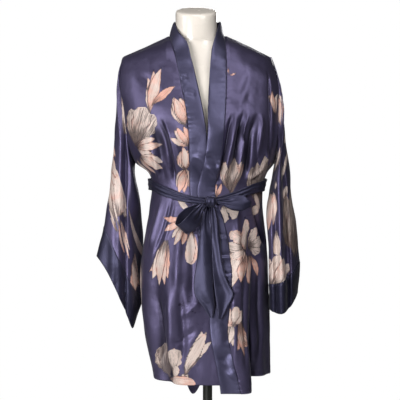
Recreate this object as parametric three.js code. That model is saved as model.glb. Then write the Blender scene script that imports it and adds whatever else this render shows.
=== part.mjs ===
// A short satin kimono-style dressing gown on a limbless display form with a pole stand.
// Millimetres, +Z up, +X towards the wearer's left, -Y towards the front. The origin is the middle of the
// base plate's underside. The gown is cut from separate pieces: two fronts, a back, two sleeves with plain
// cuff bands, a two-part neckband and a tie belt with its bow. Each is a thin wall of its own.
import * as THREE from "three";

// ---- driving dimensions ----
const CLOTH = 2; // wall of a cut panel
const BAND_CLOTH = 3; // doubled cloth of the neckband
const SEAM_GAP = 0.55; // half of it stays clear on each side of a long seam
const SIDE_SEAM_TURN = 0.04; // degrees that a side seam keeps clear on each side
const ARMHOLE_GAP = 0.8; // how far the sleeve starts outside the armhole
const UNDERARM = 862; // height of the underarm point
const SHOULDER_TIP = 1142; // height of the shoulder seam at the armhole
const ARMHOLE_TURN = 21; // how far round from the side the armhole's edges lie, in degrees
const SQUARENESS = 0.8; // exponent of the body's rounded sections
const NECK = { x: -28, half: 74, back: 62, drop: 7 };
const OVERLAP_LIFT = 5; // the wearer's left front lies this far outside the right front
const HEM = { right: 304, front: 296, wrap: 275, left: 312, back: 303 };
const BACK_DIP = { x: -39, width: 30, depth: 74 }; // a soft corner of the back hem hangs lower

// Sections of the gown's body by level. A level is the height of a section at its sides; towards the neck
// the section rises by "rise". cx and half place its sides, front and back are its depths.
const BODY = [
  { level: 190, cx: 8, half: 151, front: 139, back: 124, rise: 0 },
  { level: 300, cx: 8, half: 153, front: 141, back: 128, rise: 0 },
  { level: 420, cx: -4, half: 163, front: 142, back: 134, rise: 0 },
  { level: 540, cx: -9, half: 167, front: 138, back: 136, rise: 0 },
  { level: 660, cx: -7, half: 160, front: 124, back: 124, rise: 0 },
  { level: 745, cx: -5, half: 150, front: 109, back: 105, rise: 0 },
  { level: 800, cx: -2, half: 148, front: 103, back: 98, rise: 0 },
  { level: 835, cx: 0, half: 158, front: 110, back: 102, rise: 0 },
  { level: 862, cx: -7, half: 183, front: 118, back: 106, rise: 0 },
  { level: 935, cx: -15, half: 202, front: 130, back: 110, rise: 0 },
  { level: 1000, cx: -18, half: 213, front: 119, back: 108, rise: 0 },
  { level: 1060, cx: -23, half: 216, front: 94, back: 97, rise: 15 },
  { level: 1105, cx: -26, half: 207, front: 68, back: 76, rise: 36 },
  { level: 1130, cx: -27, half: 200, front: 40, back: 48, rise: 48 },
  { level: 1142, cx: -27, half: 196, front: 0, back: 0, rise: 57 },
];

// Main folds of the body. turn is where a fold runs, in degrees round the body from the wearer's left side
// over the front; lean is how far it drifts for each 100 mm down. It starts at "from", is full at "full" and
// has gone at "gone". A positive height is a ridge and a negative one a trough.
const FOLDS = [
  { turn: 113, lean: 0, width: 12, height: 8, from: 735, full: 480, gone: 0 },
  { turn: 131, lean: 0.5, width: 9, height: -13, from: 720, full: 400, gone: 0 },
  { turn: 154, lean: 0, width: 10, height: 6, from: 740, full: 430, gone: 0 },
  { turn: 62, lean: 0.3, width: 9, height: 13, from: 745, full: 480, gone: 0 },
  { turn: 46, lean: 0.4, width: 7, height: -24, from: 735, full: 440, gone: 0 },
  { turn: 12, lean: 0, width: 10, height: 5, from: 740, full: 420, gone: 0 },
  { turn: 199, lean: 0, width: 10, height: -9, from: 740, full: 430, gone: 0 },
  { turn: 221, lean: 0, width: 11, height: 10, from: 735, full: 420, gone: 0 },
  { turn: 243, lean: 0.4, width: 9, height: -11, from: 745, full: 430, gone: 0 },
  { turn: 266, lean: 0, width: 11, height: 9, from: 735, full: 400, gone: 0 },
  { turn: 289, lean: -0.3, width: 9, height: -12, from: 745, full: 430, gone: 0 },
  { turn: 312, lean: 0, width: 11, height: 9, from: 740, full: 420, gone: 0 },
  { turn: 336, lean: 0, width: 9, height: -9, from: 745, full: 440, gone: 0 },
  { turn: 116, lean: 2.6, width: 5, height: -9, from: 1000, full: 900, gone: 800 },
  { turn: 136, lean: 1.2, width: 8, height: 6, from: 960, full: 860, gone: 800 },
  { turn: 67, lean: -4.2, width: 5, height: -10, from: 1000, full: 900, gone: 790 },
  { turn: 53, lean: -3.6, width: 5, height: -8, from: 1000, full: 890, gone: 790 },
  { turn: 235, lean: 0, width: 10, height: 6, from: 990, full: 870, gone: 800 },
  { turn: 256, lean: -1, width: 7, height: -7, from: 1000, full: 880, gone: 800 },
  { turn: 284, lean: 1, width: 7, height: -7, from: 1000, full: 880, gone: 800 },
  { turn: 305, lean: 0, width: 10, height: 6, from: 990, full: 870, gone: 800 },
];

// Front edges of the two fronts by level: seam is where the neckband is sewn on, free is the band's own edge.
const FRONT_EDGES = [
  { level: 190, rightSeam: 46, rightFree: 96, leftSeam: 86, leftFree: 37 },
  { level: 300, rightSeam: 42, rightFree: 92, leftSeam: 80, leftFree: 31 },
  { level: 420, rightSeam: 25, rightFree: 75, leftSeam: 51, leftFree: 6 },
  { level: 480, rightSeam: 16, rightFree: 66, leftSeam: 53, leftFree: 4 },
  { level: 540, rightSeam: 5, rightFree: 55, leftSeam: 60, leftFree: 11 },
  { level: 600, rightSeam: -7, rightFree: 43, leftSeam: 58, leftFree: 9 },
  { level: 660, rightSeam: -20, rightFree: 30, leftSeam: 50, leftFree: 2 },
  { level: 715, rightSeam: -33, rightFree: 17, leftSeam: 38, leftFree: -9 },
  { level: 765, rightSeam: -42, rightFree: 9, leftSeam: 21, leftFree: -25 },
  { level: 800, rightSeam: -46, rightFree: 4, leftSeam: 20, leftFree: -26 },
  { level: 862, rightSeam: -47.5, rightFree: 2, leftSeam: 32, leftFree: -10 },
  { level: 935, rightSeam: -49.5, rightFree: -3.5, leftSeam: 40, leftFree: -1 },
  { level: 1000, rightSeam: -57, rightFree: -13, leftSeam: 45, leftFree: 0 },
  { level: 1060, rightSeam: -71, rightFree: -29, leftSeam: 48, leftFree: 4 },
  { level: 1105, rightSeam: -84, rightFree: -48, leftSeam: 47, leftFree: 10 },
  { level: 1118, rightSeam: -90, rightFree: -57, leftSeam: 46.5, leftFree: 16 },
  { level: 1134, rightSeam: -97, rightFree: -80, leftSeam: 46, leftFree: 25 },
  { level: 1142, rightSeam: -102, rightFree: -91, leftSeam: 46, leftFree: 33 },
];

// The neckband's free edge above the chest, where the band turns from lying flat to standing round the neck.
const STANDING_EDGE = [
  { level: 1050, y: -104, z: 1066 },
  { level: 1090, y: -92, z: 1122 },
  { level: 1118, y: -69, z: 1178 },
  { level: 1134, y: -43, z: 1209 },
  { level: 1142, y: -4, z: 1238 },
];
const NECKBAND_BACK = { half: 62, depth: 66, height: 1240 };
const NECKBAND_TURNS = 7; // steps of each half of the neckband from the neck's side to its back seam

// Sleeves by share of their length. over and under are the lines of the overarm fold and the underarm seam,
// depth is half the sleeve's thickness from front to back, back moves the underarm seam towards the back,
// full rounds the sleeve outwards below the shoulder, and frontDrop and backDrop let its middle hang lower.
const SLEEVES = {
  right: [
    { at: 0, overX: -224, overZ: 1142, underX: -196, underZ: 862, depth: 40, back: 0, full: 12, frontDrop: 0 },
    { at: 0.06, overX: -233, overZ: 1120, underX: -194, underZ: 842, depth: 43, back: 3, full: 14, frontDrop: 0 },
    { at: 0.14, overX: -238, overZ: 1080, underX: -188, underZ: 812, depth: 46, back: 8, full: 15, frontDrop: 0 },
    { at: 0.32, overX: -242, overZ: 985, underX: -179, underZ: 742, depth: 46, back: 34, full: 6, frontDrop: 0 },
    { at: 0.5, overX: -249, overZ: 880, underX: -173, underZ: 665, depth: 46, back: 58, full: 0, frontDrop: 0 },
    { at: 0.68, overX: -260, overZ: 780, underX: -172, underZ: 585, depth: 48, back: 60, full: 0, frontDrop: 0 },
    { at: 0.84, overX: -272, overZ: 698, underX: -176, underZ: 508, depth: 50, back: 46, full: 0, frontDrop: -8 },
    { at: 1, overX: -290, overZ: 617, underX: -198, underZ: 424, depth: 50, back: 20, full: 0, frontDrop: -20 },
  ],
  left: [
    { at: 0, overX: 172, overZ: 1142, underX: 178, underZ: 862, depth: 40, back: 0, full: 18, frontDrop: 0 },
    { at: 0.06, overX: 181, overZ: 1120, underX: 175, underZ: 842, depth: 45, back: -5, full: 20, frontDrop: 0 },
    { at: 0.14, overX: 189, overZ: 1080, underX: 169, underZ: 815, depth: 50, back: -14, full: 20, frontDrop: 0 },
    { at: 0.32, overX: 198, overZ: 975, underX: 157, underZ: 750, depth: 53, back: -46, full: 9, frontDrop: 0 },
    { at: 0.5, overX: 213, overZ: 860, underX: 154, underZ: 686, depth: 56, back: -66, full: 0, frontDrop: 4 },
    { at: 0.68, overX: 229, overZ: 737, underX: 155, underZ: 618, depth: 60, back: -70, full: 0, frontDrop: 12 },
    { at: 0.84, overX: 240, overZ: 610, underX: 158, underZ: 550, depth: 62, back: -66, full: 0, frontDrop: 18 },
    { at: 1, overX: 235, overZ: 522, underX: 162, underZ: 482, depth: 62, back: -58, full: 0, frontDrop: 26 },
  ],
};
const BACK_DROP = { right: 1, left: 0 }; // how much of the front's drop the back of the sleeve shares
const BEHIND = { right: 1, left: -1 }; // the side on which the sleeve passes close to the body
const CUFF_START = 0.845;
// How many rows of the body below the shoulder tip each step round the armhole lies.
const ARMHOLE_STEPS = [0, 1, 2, 2.5, 3, 3.5, 4, 4.5, 5, 5.5, 6, 6.5, 7, 7.5, 8];
const SLEEVE_COLUMNS = 2 * (ARMHOLE_STEPS.length - 1);

// Upright folds of the sleeves: x at the shoulder and at the cuff, and on which side they lie (1 front, -1 back).
const SLEEVE_FOLDS = {
  right: [
    { side: 1, topX: -221, endX: -223, width: 8, height: -15, from: 1120, full: 1000 },
    { side: 1, topX: -203, endX: -205, width: 11, height: 7, from: 950, full: 800 },
    { side: 1, topX: -240, endX: -246, width: 12, height: 6, from: 1000, full: 700 },
    { side: -1, topX: -226, endX: -236, width: 10, height: -12, from: 1080, full: 900 },
    { side: -1, topX: -204, endX: -212, width: 12, height: 8, from: 900, full: 700 },
  ],
  left: [
    { side: 1, topX: 166, endX: 176, width: 6, height: -14, from: 900, full: 780 },
    { side: 1, topX: 186, endX: 208, width: 7, height: -20, from: 960, full: 800 },
    { side: 1, topX: 176, endX: 192, width: 9, height: 5, from: 960, full: 800 },
    { side: -1, topX: 192, endX: 208, width: 9, height: -14, from: 1060, full: 860 },
  ],
};

// The tie belt round the waist by turn: its middle height, half its width and how far it stands off the body.
const BELT = [
  { turn: 0, middle: 806, half: 17, off: 4 },
  { turn: 22, middle: 803, half: 16, off: 6.8 },
  { turn: 40, middle: 796, half: 15, off: 8.8 },
  { turn: 70, middle: 772, half: 11, off: 9.4 },
  { turn: 86, middle: 761, half: 9, off: 9.6 },
  { turn: 104, middle: 766, half: 10, off: 9.4 },
  { turn: 130, middle: 785, half: 13, off: 6 },
  { turn: 160, middle: 803, half: 15, off: 3.4 },
  { turn: 200, middle: 808, half: 17, off: 3 },
  { turn: 270, middle: 812, half: 18, off: 3 },
  { turn: 340, middle: 808, half: 17, off: 3 },
  { turn: 360, middle: 806, half: 17, off: 4 },
];
const KNOT = { x: 7, z: 760, half: 14.5, height: 14, depth: 11, off: 26 };

// The two ends of the belt: the line of each tail's middle and half its width, by height.
const TAILS = {
  right: [
    { z: 744, x: 1, half: 5, off: 12.4 },
    { z: 716, x: -4, half: 10, off: 12.4 },
    { z: 660, x: -5, half: 17, off: 12.6 },
    { z: 590, x: -9, half: 22, off: 13 },
    { z: 550, x: -11, half: 25, off: 13.5 },
    { z: 520, x: -8, half: 24, off: 14 },
    { z: 496, x: 2, half: 15, off: 14.5 },
    { z: 468, x: 8, half: 4, off: 15 },
  ],
  left: [
    { z: 744, x: 14, half: 5, off: 15.6 },
    { z: 716, x: 18, half: 8, off: 15.8 },
    { z: 660, x: 20, half: 11, off: 16 },
    { z: 600, x: 24, half: 13, off: 16.4 },
    { z: 555, x: 32, half: 18, off: 17 },
    { z: 525, x: 41, half: 24, off: 17.5 },
    { z: 498, x: 36, half: 16, off: 18 },
    { z: 464, x: 29, half: 4, off: 18.5 },
  ],
};

// Loops of the bow: where each leaves the knot, its reach and height, the width of its folded cloth, and the
// share by which that narrows towards the tip.
const LOOPS = {
  right: { from: [-8, -144, 757], reach: [-62, -4, -66], across: [0.5, 0.7, -0.5], half: 21, open: 25, taper: 0.1 },
  left: { from: [22, -144, 761], reach: [88, 4, -8], across: [0.08, 0.2, 0.97], half: 19, open: 12, taper: 0.6 },
};
const LOOP_ROUNDS = 20; // steps round a loop
const LOOP_CLOTH = 2;

// The display form: sections from the hips to the neck's slanted top.
const FORM = [
  { z: 548, cx: -4, cy: 4, half: 118, front: 82, back: 88, rise: 0, tilt: 0, throat: 0 },
  { z: 556, cx: -5, cy: 4, half: 132, front: 94, back: 99, rise: 0, tilt: 0, throat: 0 },
  { z: 610, cx: -6, cy: 2, half: 140, front: 98, back: 103, rise: 0, tilt: 0, throat: 0 },
  { z: 680, cx: -6, cy: 0, half: 138, front: 96, back: 101, rise: 0, tilt: 0, throat: 0 },
  { z: 750, cx: -5, cy: 0, half: 128, front: 90, back: 88, rise: 0, tilt: 0, throat: 0 },
  { z: 810, cx: -5, cy: 0, half: 122, front: 87, back: 82, rise: 0, tilt: 0, throat: 0 },
  { z: 870, cx: -10, cy: 0, half: 130, front: 96, back: 88, rise: 0, tilt: 0, throat: 0 },
  { z: 935, cx: -17, cy: 0, half: 144, front: 112, back: 95, rise: 0, tilt: 0, throat: 0 },
  { z: 1000, cx: -22, cy: 0, half: 156, front: 104, back: 94, rise: 0, tilt: 0, throat: 0 },
  { z: 1055, cx: -25, cy: 0, half: 170, front: 80, back: 84, rise: 15, tilt: 0, throat: 0 },
  { z: 1095, cx: -28, cy: 0, half: 176, front: 56, back: 63, rise: 38, tilt: 0, throat: 8 },
  { z: 1117, cx: -29, cy: 0, half: 168, front: 40, back: 44, rise: 50, tilt: 0, throat: 17 },
  { z: 1135, cx: -30, cy: 0, half: 138, front: 34, back: 37, rise: 44, tilt: 0, throat: 20 },
  { z: 1166, cx: -30, cy: 0, half: 76, front: 40, back: 42, rise: 18, tilt: 0, throat: 13 },
  { z: 1196, cx: -30, cy: 0, half: 57, front: 51, back: 52, rise: 0, tilt: 6, throat: 2 },
  { z: 1230, cx: -30, cy: 1, half: 55, front: 54, back: 54, rise: 0, tilt: 13, throat: 0 },
  { z: 1261, cx: -30, cy: 2, half: 55.6, front: 55, back: 55, rise: 0, tilt: 19, throat: 0 },
  { z: 1267, cx: -30, cy: 2, half: 53, front: 52.5, back: 52.5, rise: 0, tilt: 20, throat: 0 },
];
const THROAT = 40; // half-width of the rounding at the foot of the neck
const STAND = { pole: 12.5, poleTop: 547.6, baseRadius: 150, baseThick: 9, hub: 24, hubTop: 42, socket: 34 };
const SOCKET_DEPTH = 26;

const COLOURS = { satin: 0x3f3b58, band: 0x37334d, form: 0xe9e3da, metal: 0x17161a };

// ---- small helpers ----
const UP = new THREE.Vector3(0, 0, 1);
const radians = (degrees) => (degrees * Math.PI) / 180;
const mix = (a, b, share) => a + (b - a) * share;
const smooth = (value, from, to) => {
  const share = Math.min(1, Math.max(0, (value - from) / (to - from)));
  return share * share * (3 - 2 * share);
};
const power = (value, exponent) => Math.sign(value) * Math.abs(value) ** exponent;

// The value of one column of a table at a place along its key column, by a smooth curve through the rows.
function column(table, key, name, place) {
  const last = table.length - 1;
  const rising = table[last][key] > table[0][key];
  const inside = rising ? (k) => place > table[k + 1][key] : (k) => place < table[k + 1][key];
  let k = 0;
  while (k < last - 1 && inside(k)) k++;
  const [a, b] = [table[k], table[k + 1]];
  const span = b[key] - a[key];
  const share = Math.min(1, Math.max(0, (place - a[key]) / span));
  const slope = (from, to) => (to[name] - from[name]) / (to[key] - from[key]);
  const inSlope = (k > 0 ? slope(table[k - 1], b) : slope(a, b)) * span;
  const outSlope = (k + 2 <= last ? slope(a, table[k + 2]) : slope(a, b)) * span;
  const [s2, s3] = [share * share, share * share * share];
  return (
    a[name] * (2 * s3 - 3 * s2 + 1) + inSlope * (s3 - 2 * s2 + share) +
    b[name] * (3 * s2 - 2 * s3) + outSlope * (s3 - s2)
  );
}

// The normal of a surface at (u, v), from its tangents.
function normalOf(surface, u, v, stepU, stepV) {
  const alongU = surface(u + stepU, v).sub(surface(u - stepU, v));
  const alongV = surface(u, v + stepV).sub(surface(u, v - stepV));
  return alongU.cross(alongV).normalize();
}

// A closed thin wall from a grid of points: place(u, v, depth) gives a point, depth being how far in it lies.
function wall(columns, rows, thickness, place, closed = false) {
  const across = closed ? columns : columns + 1;
  const points = [];
  for (const depth of [0, thickness])
    for (let j = 0; j <= rows; j++)
      for (let i = 0; i < across; i++) points.push(...place(i / columns, j / rows, depth).toArray());
  const at = (layer, i, j) => layer * across * (rows + 1) + j * across + (i % across);
  const faces = [];
  const quad = (a, b, c, d) => faces.push(a, b, c, a, c, d);
  for (let j = 0; j < rows; j++)
    for (let i = 0; i < columns; i++) {
      quad(at(0, i, j), at(0, i + 1, j), at(0, i + 1, j + 1), at(0, i, j + 1));
      quad(at(1, i, j), at(1, i, j + 1), at(1, i + 1, j + 1), at(1, i + 1, j));
    }
  for (let i = 0; i < columns; i++) {
    quad(at(0, i, 0), at(1, i, 0), at(1, i + 1, 0), at(0, i + 1, 0));
    quad(at(0, i, rows), at(0, i + 1, rows), at(1, i + 1, rows), at(1, i, rows));
  }
  if (!closed)
    for (let j = 0; j < rows; j++) {
      quad(at(0, 0, j), at(0, 0, j + 1), at(1, 0, j + 1), at(1, 0, j));
      quad(at(0, columns, j), at(1, columns, j), at(1, columns, j + 1), at(0, columns, j + 1));
    }
  return solid(points, faces);
}

// A closed geometry from points and faces, its faces turned to point outwards.
function solid(points, faces) {
  const corner = (k) => new THREE.Vector3().fromArray(points, 3 * faces[k]);
  let volume = 0;
  for (let k = 0; k < faces.length; k += 3) volume += corner(k).dot(corner(k + 1).cross(corner(k + 2)));
  if (volume < 0) faces.reverse();
  const geometry = new THREE.BufferGeometry();
  geometry.setAttribute("position", new THREE.Float32BufferAttribute(points, 3));
  geometry.setIndex(faces);
  geometry.computeVertexNormals();
  return geometry;
}

// ---- the gown's body ----
// How far the folds stand out of the plain section at a turn and level.
function foldHeight(turn, level) {
  let height = 0;
  for (const fold of FOLDS) {
    const middle = fold.turn + (fold.lean * (fold.from - level)) / 100;
    const away = (((turn - middle) % 360) + 540) % 360 - 180;
    const started = 1 - smooth(level, fold.full, fold.from);
    const left = fold.gone ? smooth(level, fold.gone, fold.full) : 1;
    height += fold.height * started * left * Math.exp(-((away / fold.width) ** 2));
  }
  return height;
}

// The plain section of the body, before its folds.
function section(turn, level) {
  const part = (name) => column(BODY, "level", name, level);
  const cosine = power(Math.cos(radians(turn)), SQUARENESS);
  const sine = power(Math.sin(radians(turn)), SQUARENESS);
  const x = part("cx") + part("half") * cosine;
  const nearNeck = Math.sqrt(Math.max(0, 1 - ((x - NECK.x) / NECK.half) ** 2));
  const neckDepth = NECK.back * nearNeck * smooth(level, 1085, SHOULDER_TIP);
  const backDepth = (Math.abs(part("back") * sine) ** 4 + neckDepth ** 4) ** 0.25;
  const depth = Math.max(SEAM_GAP, sine > 0 ? part("front") * sine : backDepth);
  const shoulder = Math.min(1, (1 - Math.abs(cosine)) / 0.6);
  const dip = sine < 0 ? NECK.drop * nearNeck * smooth(level, 1105, SHOULDER_TIP) : 0;
  return new THREE.Vector3(x, sine > 0 ? -depth : depth, level + part("rise") * shoulder - dip);
}

// A point of the body, lifted off its folded surface by a height.
function body(turn, level, lift = 0) {
  const outwards = normalOf(section, turn, level, 0.5, -1.5);
  return section(turn, level).addScaledVector(outwards, foldHeight(turn, level) + lift);
}

// The way out of the cloth at a point of the body: square to its folds, and straight up along the shoulder seam.
function outOf(turn, level) {
  return normalOf(body, turn, level, 0.5, -1.5).lerp(UP, smooth(level, 1100, SHOULDER_TIP)).normalize();
}

// A point on the folded body, lifted out of the cloth.
function layer(turn, level, lift) {
  return body(turn, level).addScaledVector(outOf(turn, level), lift);
}

// The turn at which the front of the body has a given x, at a level.
function frontTurn(x, level) {
  const share = (x - column(BODY, "level", "cx", level)) / column(BODY, "level", "half", level);
  const cosine = power(Math.max(-1, Math.min(1, share)), 1 / SQUARENESS);
  return (Math.acos(cosine) * 180) / Math.PI;
}

// How far from the side the armhole's edge lies at a level, in degrees.
function armholeTurn(level) {
  const share = Math.min(1, Math.max(0, (level - UNDERARM) / (SHOULDER_TIP - UNDERARM)));
  return SIDE_SEAM_TURN + ARMHOLE_TURN * Math.sin(Math.PI * share) ** 0.8;
}

// The wearer's left front wraps over the right one; the lift fades towards its side seam and up the chest.
function wrapLift(turn, level) {
  return 0.4 + OVERLAP_LIFT * smooth(turn, 14, 44) * (1 - smooth(level, 950, 1050));
}

// Levels of the rows of the body's panels, closer together over the waist and the shoulders.
const LEVELS = [300, 345, 395, 450, 510, 575, 640, 700, 750, 790, 825, 862, 905, 950, 1000, 1050, 1090, 1118, 1134, 1142];
const rowLevel = (v) => LEVELS[Math.round(v * (LEVELS.length - 1))];
const ROWS = LEVELS.length - 1;

// The height at which the hem hangs.
function hemHeight(turn, x, isWrap) {
  if (turn > 180) {
    const dip = BACK_DIP.depth * Math.exp(-(((x - BACK_DIP.x) / BACK_DIP.width) ** 2));
    return HEM.back - dip;
  }
  if (isWrap) return mix(HEM.left, HEM.wrap, smooth(turn, 46, 58));
  return mix(HEM.right, HEM.front, smooth(180 - turn, 10, 60));
}

// A point of a body panel: the lowest rows are let down to the hem.
function panelPoint(turn, level, lift, isWrap) {
  const hem = hemHeight(turn, section(turn, level).x, isWrap);
  const lowered = level - (LEVELS[0] - hem) * (1 - smooth(level, LEVELS[0], 450));
  return layer(turn, lowered, lift);
}

function back() {
  return wall(34, ROWS, CLOTH, (u, v, depth) => {
    const level = rowLevel(v);
    const start = 180 + armholeTurn(level);
    const end = 360 - armholeTurn(level);
    return panelPoint(mix(start, end, u), level, -depth, false);
  });
}

function rightFront() {
  return wall(16, ROWS, CLOTH, (u, v, depth) => {
    const level = rowLevel(v);
    const edge = frontTurn(column(FRONT_EDGES, "level", "rightSeam", level) - SEAM_GAP, level);
    return panelPoint(mix(edge, 180 - armholeTurn(level), u), level, -depth, false);
  });
}

function leftFront() {
  return wall(24, ROWS, CLOTH, (u, v, depth) => {
    const level = rowLevel(v);
    const edge = frontTurn(column(FRONT_EDGES, "level", "leftSeam", level) + SEAM_GAP, level);
    const turn = mix(armholeTurn(level), edge, u);
    return panelPoint(turn, level, wrapLift(turn, level) - depth, true);
  });
}

// ---- the neckband ----
// One half of the neckband: it runs up the front edge and round the neck to the middle of the back.
function neckband(name) {
  const side = name === "left" ? -1 : 1; // towards the free edge
  const rows = ROWS + NECKBAND_TURNS;
  const isWrap = name === "left";
  const onBody = (x, level) => {
    const turn = frontTurn(x, level);
    return panelPoint(turn, level, isWrap ? wrapLift(turn, level) : 0, isWrap);
  };
  const behindNeck = (u, turn) => {
    const [cosine, sine] = [Math.cos(radians(turn)), Math.sin(radians(turn))];
    const seam = new THREE.Vector3(-side * NECK.half * cosine, NECK.back * sine, 1200 - NECK.drop * sine);
    const { half, depth, height } = NECKBAND_BACK;
    const free = new THREE.Vector3(-side * half * cosine, mix(-4, depth, sine), mix(1238, height, sine));
    const point = seam.lerp(free, u);
    point.x += NECK.x;
    return point;
  };
  const surface = (u, v) => {
    const step = Math.min(rows, Math.max(0, v * rows));
    if (step > ROWS) return behindNeck(u, (90 * (step - ROWS)) / NECKBAND_TURNS);
    const low = Math.min(ROWS - 1, Math.floor(step));
    const level = mix(LEVELS[low], LEVELS[low + 1], step - low);
    const seamX = column(FRONT_EDGES, "level", name + "Seam", level) + side * SEAM_GAP;
    const freeX = column(FRONT_EDGES, "level", name + "Free", level);
    const flat = onBody(mix(seamX, freeX, u), level);
    if (level <= 1000) return flat;
    const y = column(STANDING_EDGE, "level", "y", level);
    const z = column(STANDING_EDGE, "level", "z", level);
    const free = onBody(freeX, level).lerp(new THREE.Vector3(freeX, y, z), smooth(level, 1040, 1100));
    return flat.lerp(onBody(seamX, level).lerp(free, u), smooth(level, 1000, 1100));
  };
  return wall(3, rows, BAND_CLOTH, (u, v, depth) => {
    const outwards = normalOf(surface, mix(0.05, 0.95, u), mix(0.02, 0.98, v), 0.04, 0.5 / rows);
    return surface(u, Math.min(v, 0.997)).addScaledVector(outwards, side * (0.8 - depth));
  });
}

// ---- sleeves and cuffs ----
// The sleeve's first ring follows the edges of the two panels, a little outside them.
function armhole(name, turn, depth) {
  const isFront = turn <= 180;
  const step = ((isFront ? turn : 360 - turn) / 180) * (ARMHOLE_STEPS.length - 1);
  const low = Math.min(ARMHOLE_STEPS.length - 2, Math.floor(step));
  const row = ROWS - mix(ARMHOLE_STEPS[low], ARMHOLE_STEPS[low + 1], step - low);
  const lowRow = Math.min(ROWS - 1, Math.floor(row));
  const outside = name === "left" ? 1 : -1;
  const edge = (level) => {
    const away = armholeTurn(level) * (isFront ? 1 : -1);
    const panelTurn = name === "left" ? away : 180 - away;
    const lift = name === "left" && isFront ? wrapLift(panelTurn, level) : 0;
    const inwards = outOf(panelTurn, level).setX(0).normalize().negate();
    const point = panelPoint(panelTurn, level, lift, false).addScaledVector(inwards, depth);
    point.x += outside * ARMHOLE_GAP;
    point.z -= ARMHOLE_GAP * smooth(step, 7, 14);
    return point;
  };
  return edge(LEVELS[lowRow]).lerp(edge(LEVELS[lowRow + 1]), row - lowRow);
}

// The sleeve's hanging tube: turn goes round it from the overarm fold over the front, at is the share of its
// length.
function sleevePoint(name, turn, at) {
  const part = (key) => column(SLEEVES[name], "at", key, at);
  const cosine = Math.cos(radians(turn));
  const sine = Math.sin(radians(turn));
  const over = (1 + cosine) / 2;
  const outside = name === "left" ? 1 : -1;
  const passing = Math.sign(sine) === BEHIND[name] ? smooth(at, 0.1, 0.45) * (1 - smooth(at, 0.7, 1)) : 0;
  const x = mix(part("underX"), part("overX"), over ** mix(1, 0.62, passing)) + outside * part("full") * sine ** 2;
  const dropped = sine > 0 ? 1 : BACK_DROP[name];
  const z = mix(part("underZ"), part("overZ"), over) - part("frontDrop") * dropped * sine ** 2;
  let y = (1 - over) * part("back") - part("depth") * power(sine, 0.85);
  for (const fold of SLEEVE_FOLDS[name]) {
    if (Math.sign(sine) !== fold.side) continue;
    const middle = mix(fold.topX, fold.endX, smooth(z, 1142, 430));
    const started = 1 - smooth(z, fold.full, fold.from);
    const near = Math.exp(-(((x - middle) / fold.width) ** 2));
    y -= fold.side * fold.height * near * started * Math.abs(sine) ** 0.7;
  }
  return new THREE.Vector3(x, y, z);
}

// A length of the sleeve as a closed band of cloth.
function sleeveWall(name, from, to, rows, lift, thickness) {
  const surface = (turn, at) => sleevePoint(name, turn, at);
  return wall(SLEEVE_COLUMNS, rows, thickness, (u, v, depth) => {
    const turn = 360 * u;
    const at = mix(from, to, v);
    const outwards = normalOf(surface, turn, Math.max(0.012, at), 2, 0.01);
    if (name === "right") outwards.negate();
    const hanging = surface(turn, at).addScaledVector(outwards, lift - depth);
    const loosened = smooth(at, 0, 0.2);
    return loosened < 1 ? armhole(name, turn, depth).lerp(hanging, loosened) : hanging;
  }, true);
}

// ---- the belt ----
function belt() {
  return wall(48, 2, CLOTH, (u, v, depth) => {
    const turn = 360 * u;
    const middle = column(BELT, "turn", "middle", turn);
    const half = column(BELT, "turn", "half", turn);
    const off = column(BELT, "turn", "off", turn) + 1.2 * Math.sin(Math.PI * v);
    return layer(turn, mix(middle - half, middle + half, v), off + CLOTH - depth);
  }, true);
}

// The knot is a lump of wrapped cloth, flattened towards the body, with a shallow waist where the belt crosses.
function knot() {
  const shape = new THREE.SphereGeometry(1, 14, 10);
  const position = shape.attributes.position;
  for (let k = 0; k < position.count; k++) {
    const [x, y, z] = [position.getX(k), position.getY(k), position.getZ(k)];
    const waist = 1 - 0.1 * Math.exp(-((x / 0.35) ** 2)) + 0.08 * Math.abs(x);
    position.setXYZ(k, x * KNOT.half, y * KNOT.depth * waist, z * KNOT.height * waist);
  }
  shape.computeVertexNormals();
  return shape;
}

function tail(name) {
  const table = TAILS[name];
  const top = table[0].z;
  const end = table[table.length - 1].z;
  return wall(3, 12, CLOTH, (u, v, depth) => {
    const z = mix(top, end, v);
    const part = (key) => column(table, "z", key, z);
    const x = part("x") + (2 * u - 1) * Math.max(part("half"), 3);
    return layer(frontTurn(x, z), z, part("off") - depth);
  });
}

// A loop of the bow: a strip that leaves the knot, turns back at its tip and returns behind itself.
function loop(name) {
  const shape = LOOPS[name];
  const from = new THREE.Vector3(...shape.from);
  const reach = new THREE.Vector3(...shape.reach);
  const across = new THREE.Vector3(...shape.across).normalize();
  const open = reach.clone().normalize().cross(across).normalize();
  if (open.y > 0) open.negate();
  const surface = (u, v) => {
    const angle = mix(-0.86, 0.86, v) * Math.PI;
    const out = (1 + Math.cos(angle)) / 2;
    const spread = Math.sin(angle) * shape.open * Math.sin((Math.PI * Math.min(1, out + 0.12)) / 2.2);
    const gather = mix(0.3, 1, smooth(out, 0, 0.55)) * (1 - shape.taper * smooth(out, 0.7, 1));
    return from
      .clone()
      .addScaledVector(reach, out)
      .addScaledVector(open, spread)
      .addScaledVector(across, (2 * u - 1) * shape.half * gather);
  };
  return wall(3, LOOP_ROUNDS, LOOP_CLOTH, (u, v, depth) => {
    const outwards = normalOf(surface, mix(0.1, 0.9, u), mix(0.02, 0.98, v), 0.05, 0.01);
    return surface(u, v).addScaledVector(outwards, depth);
  });
}

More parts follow.
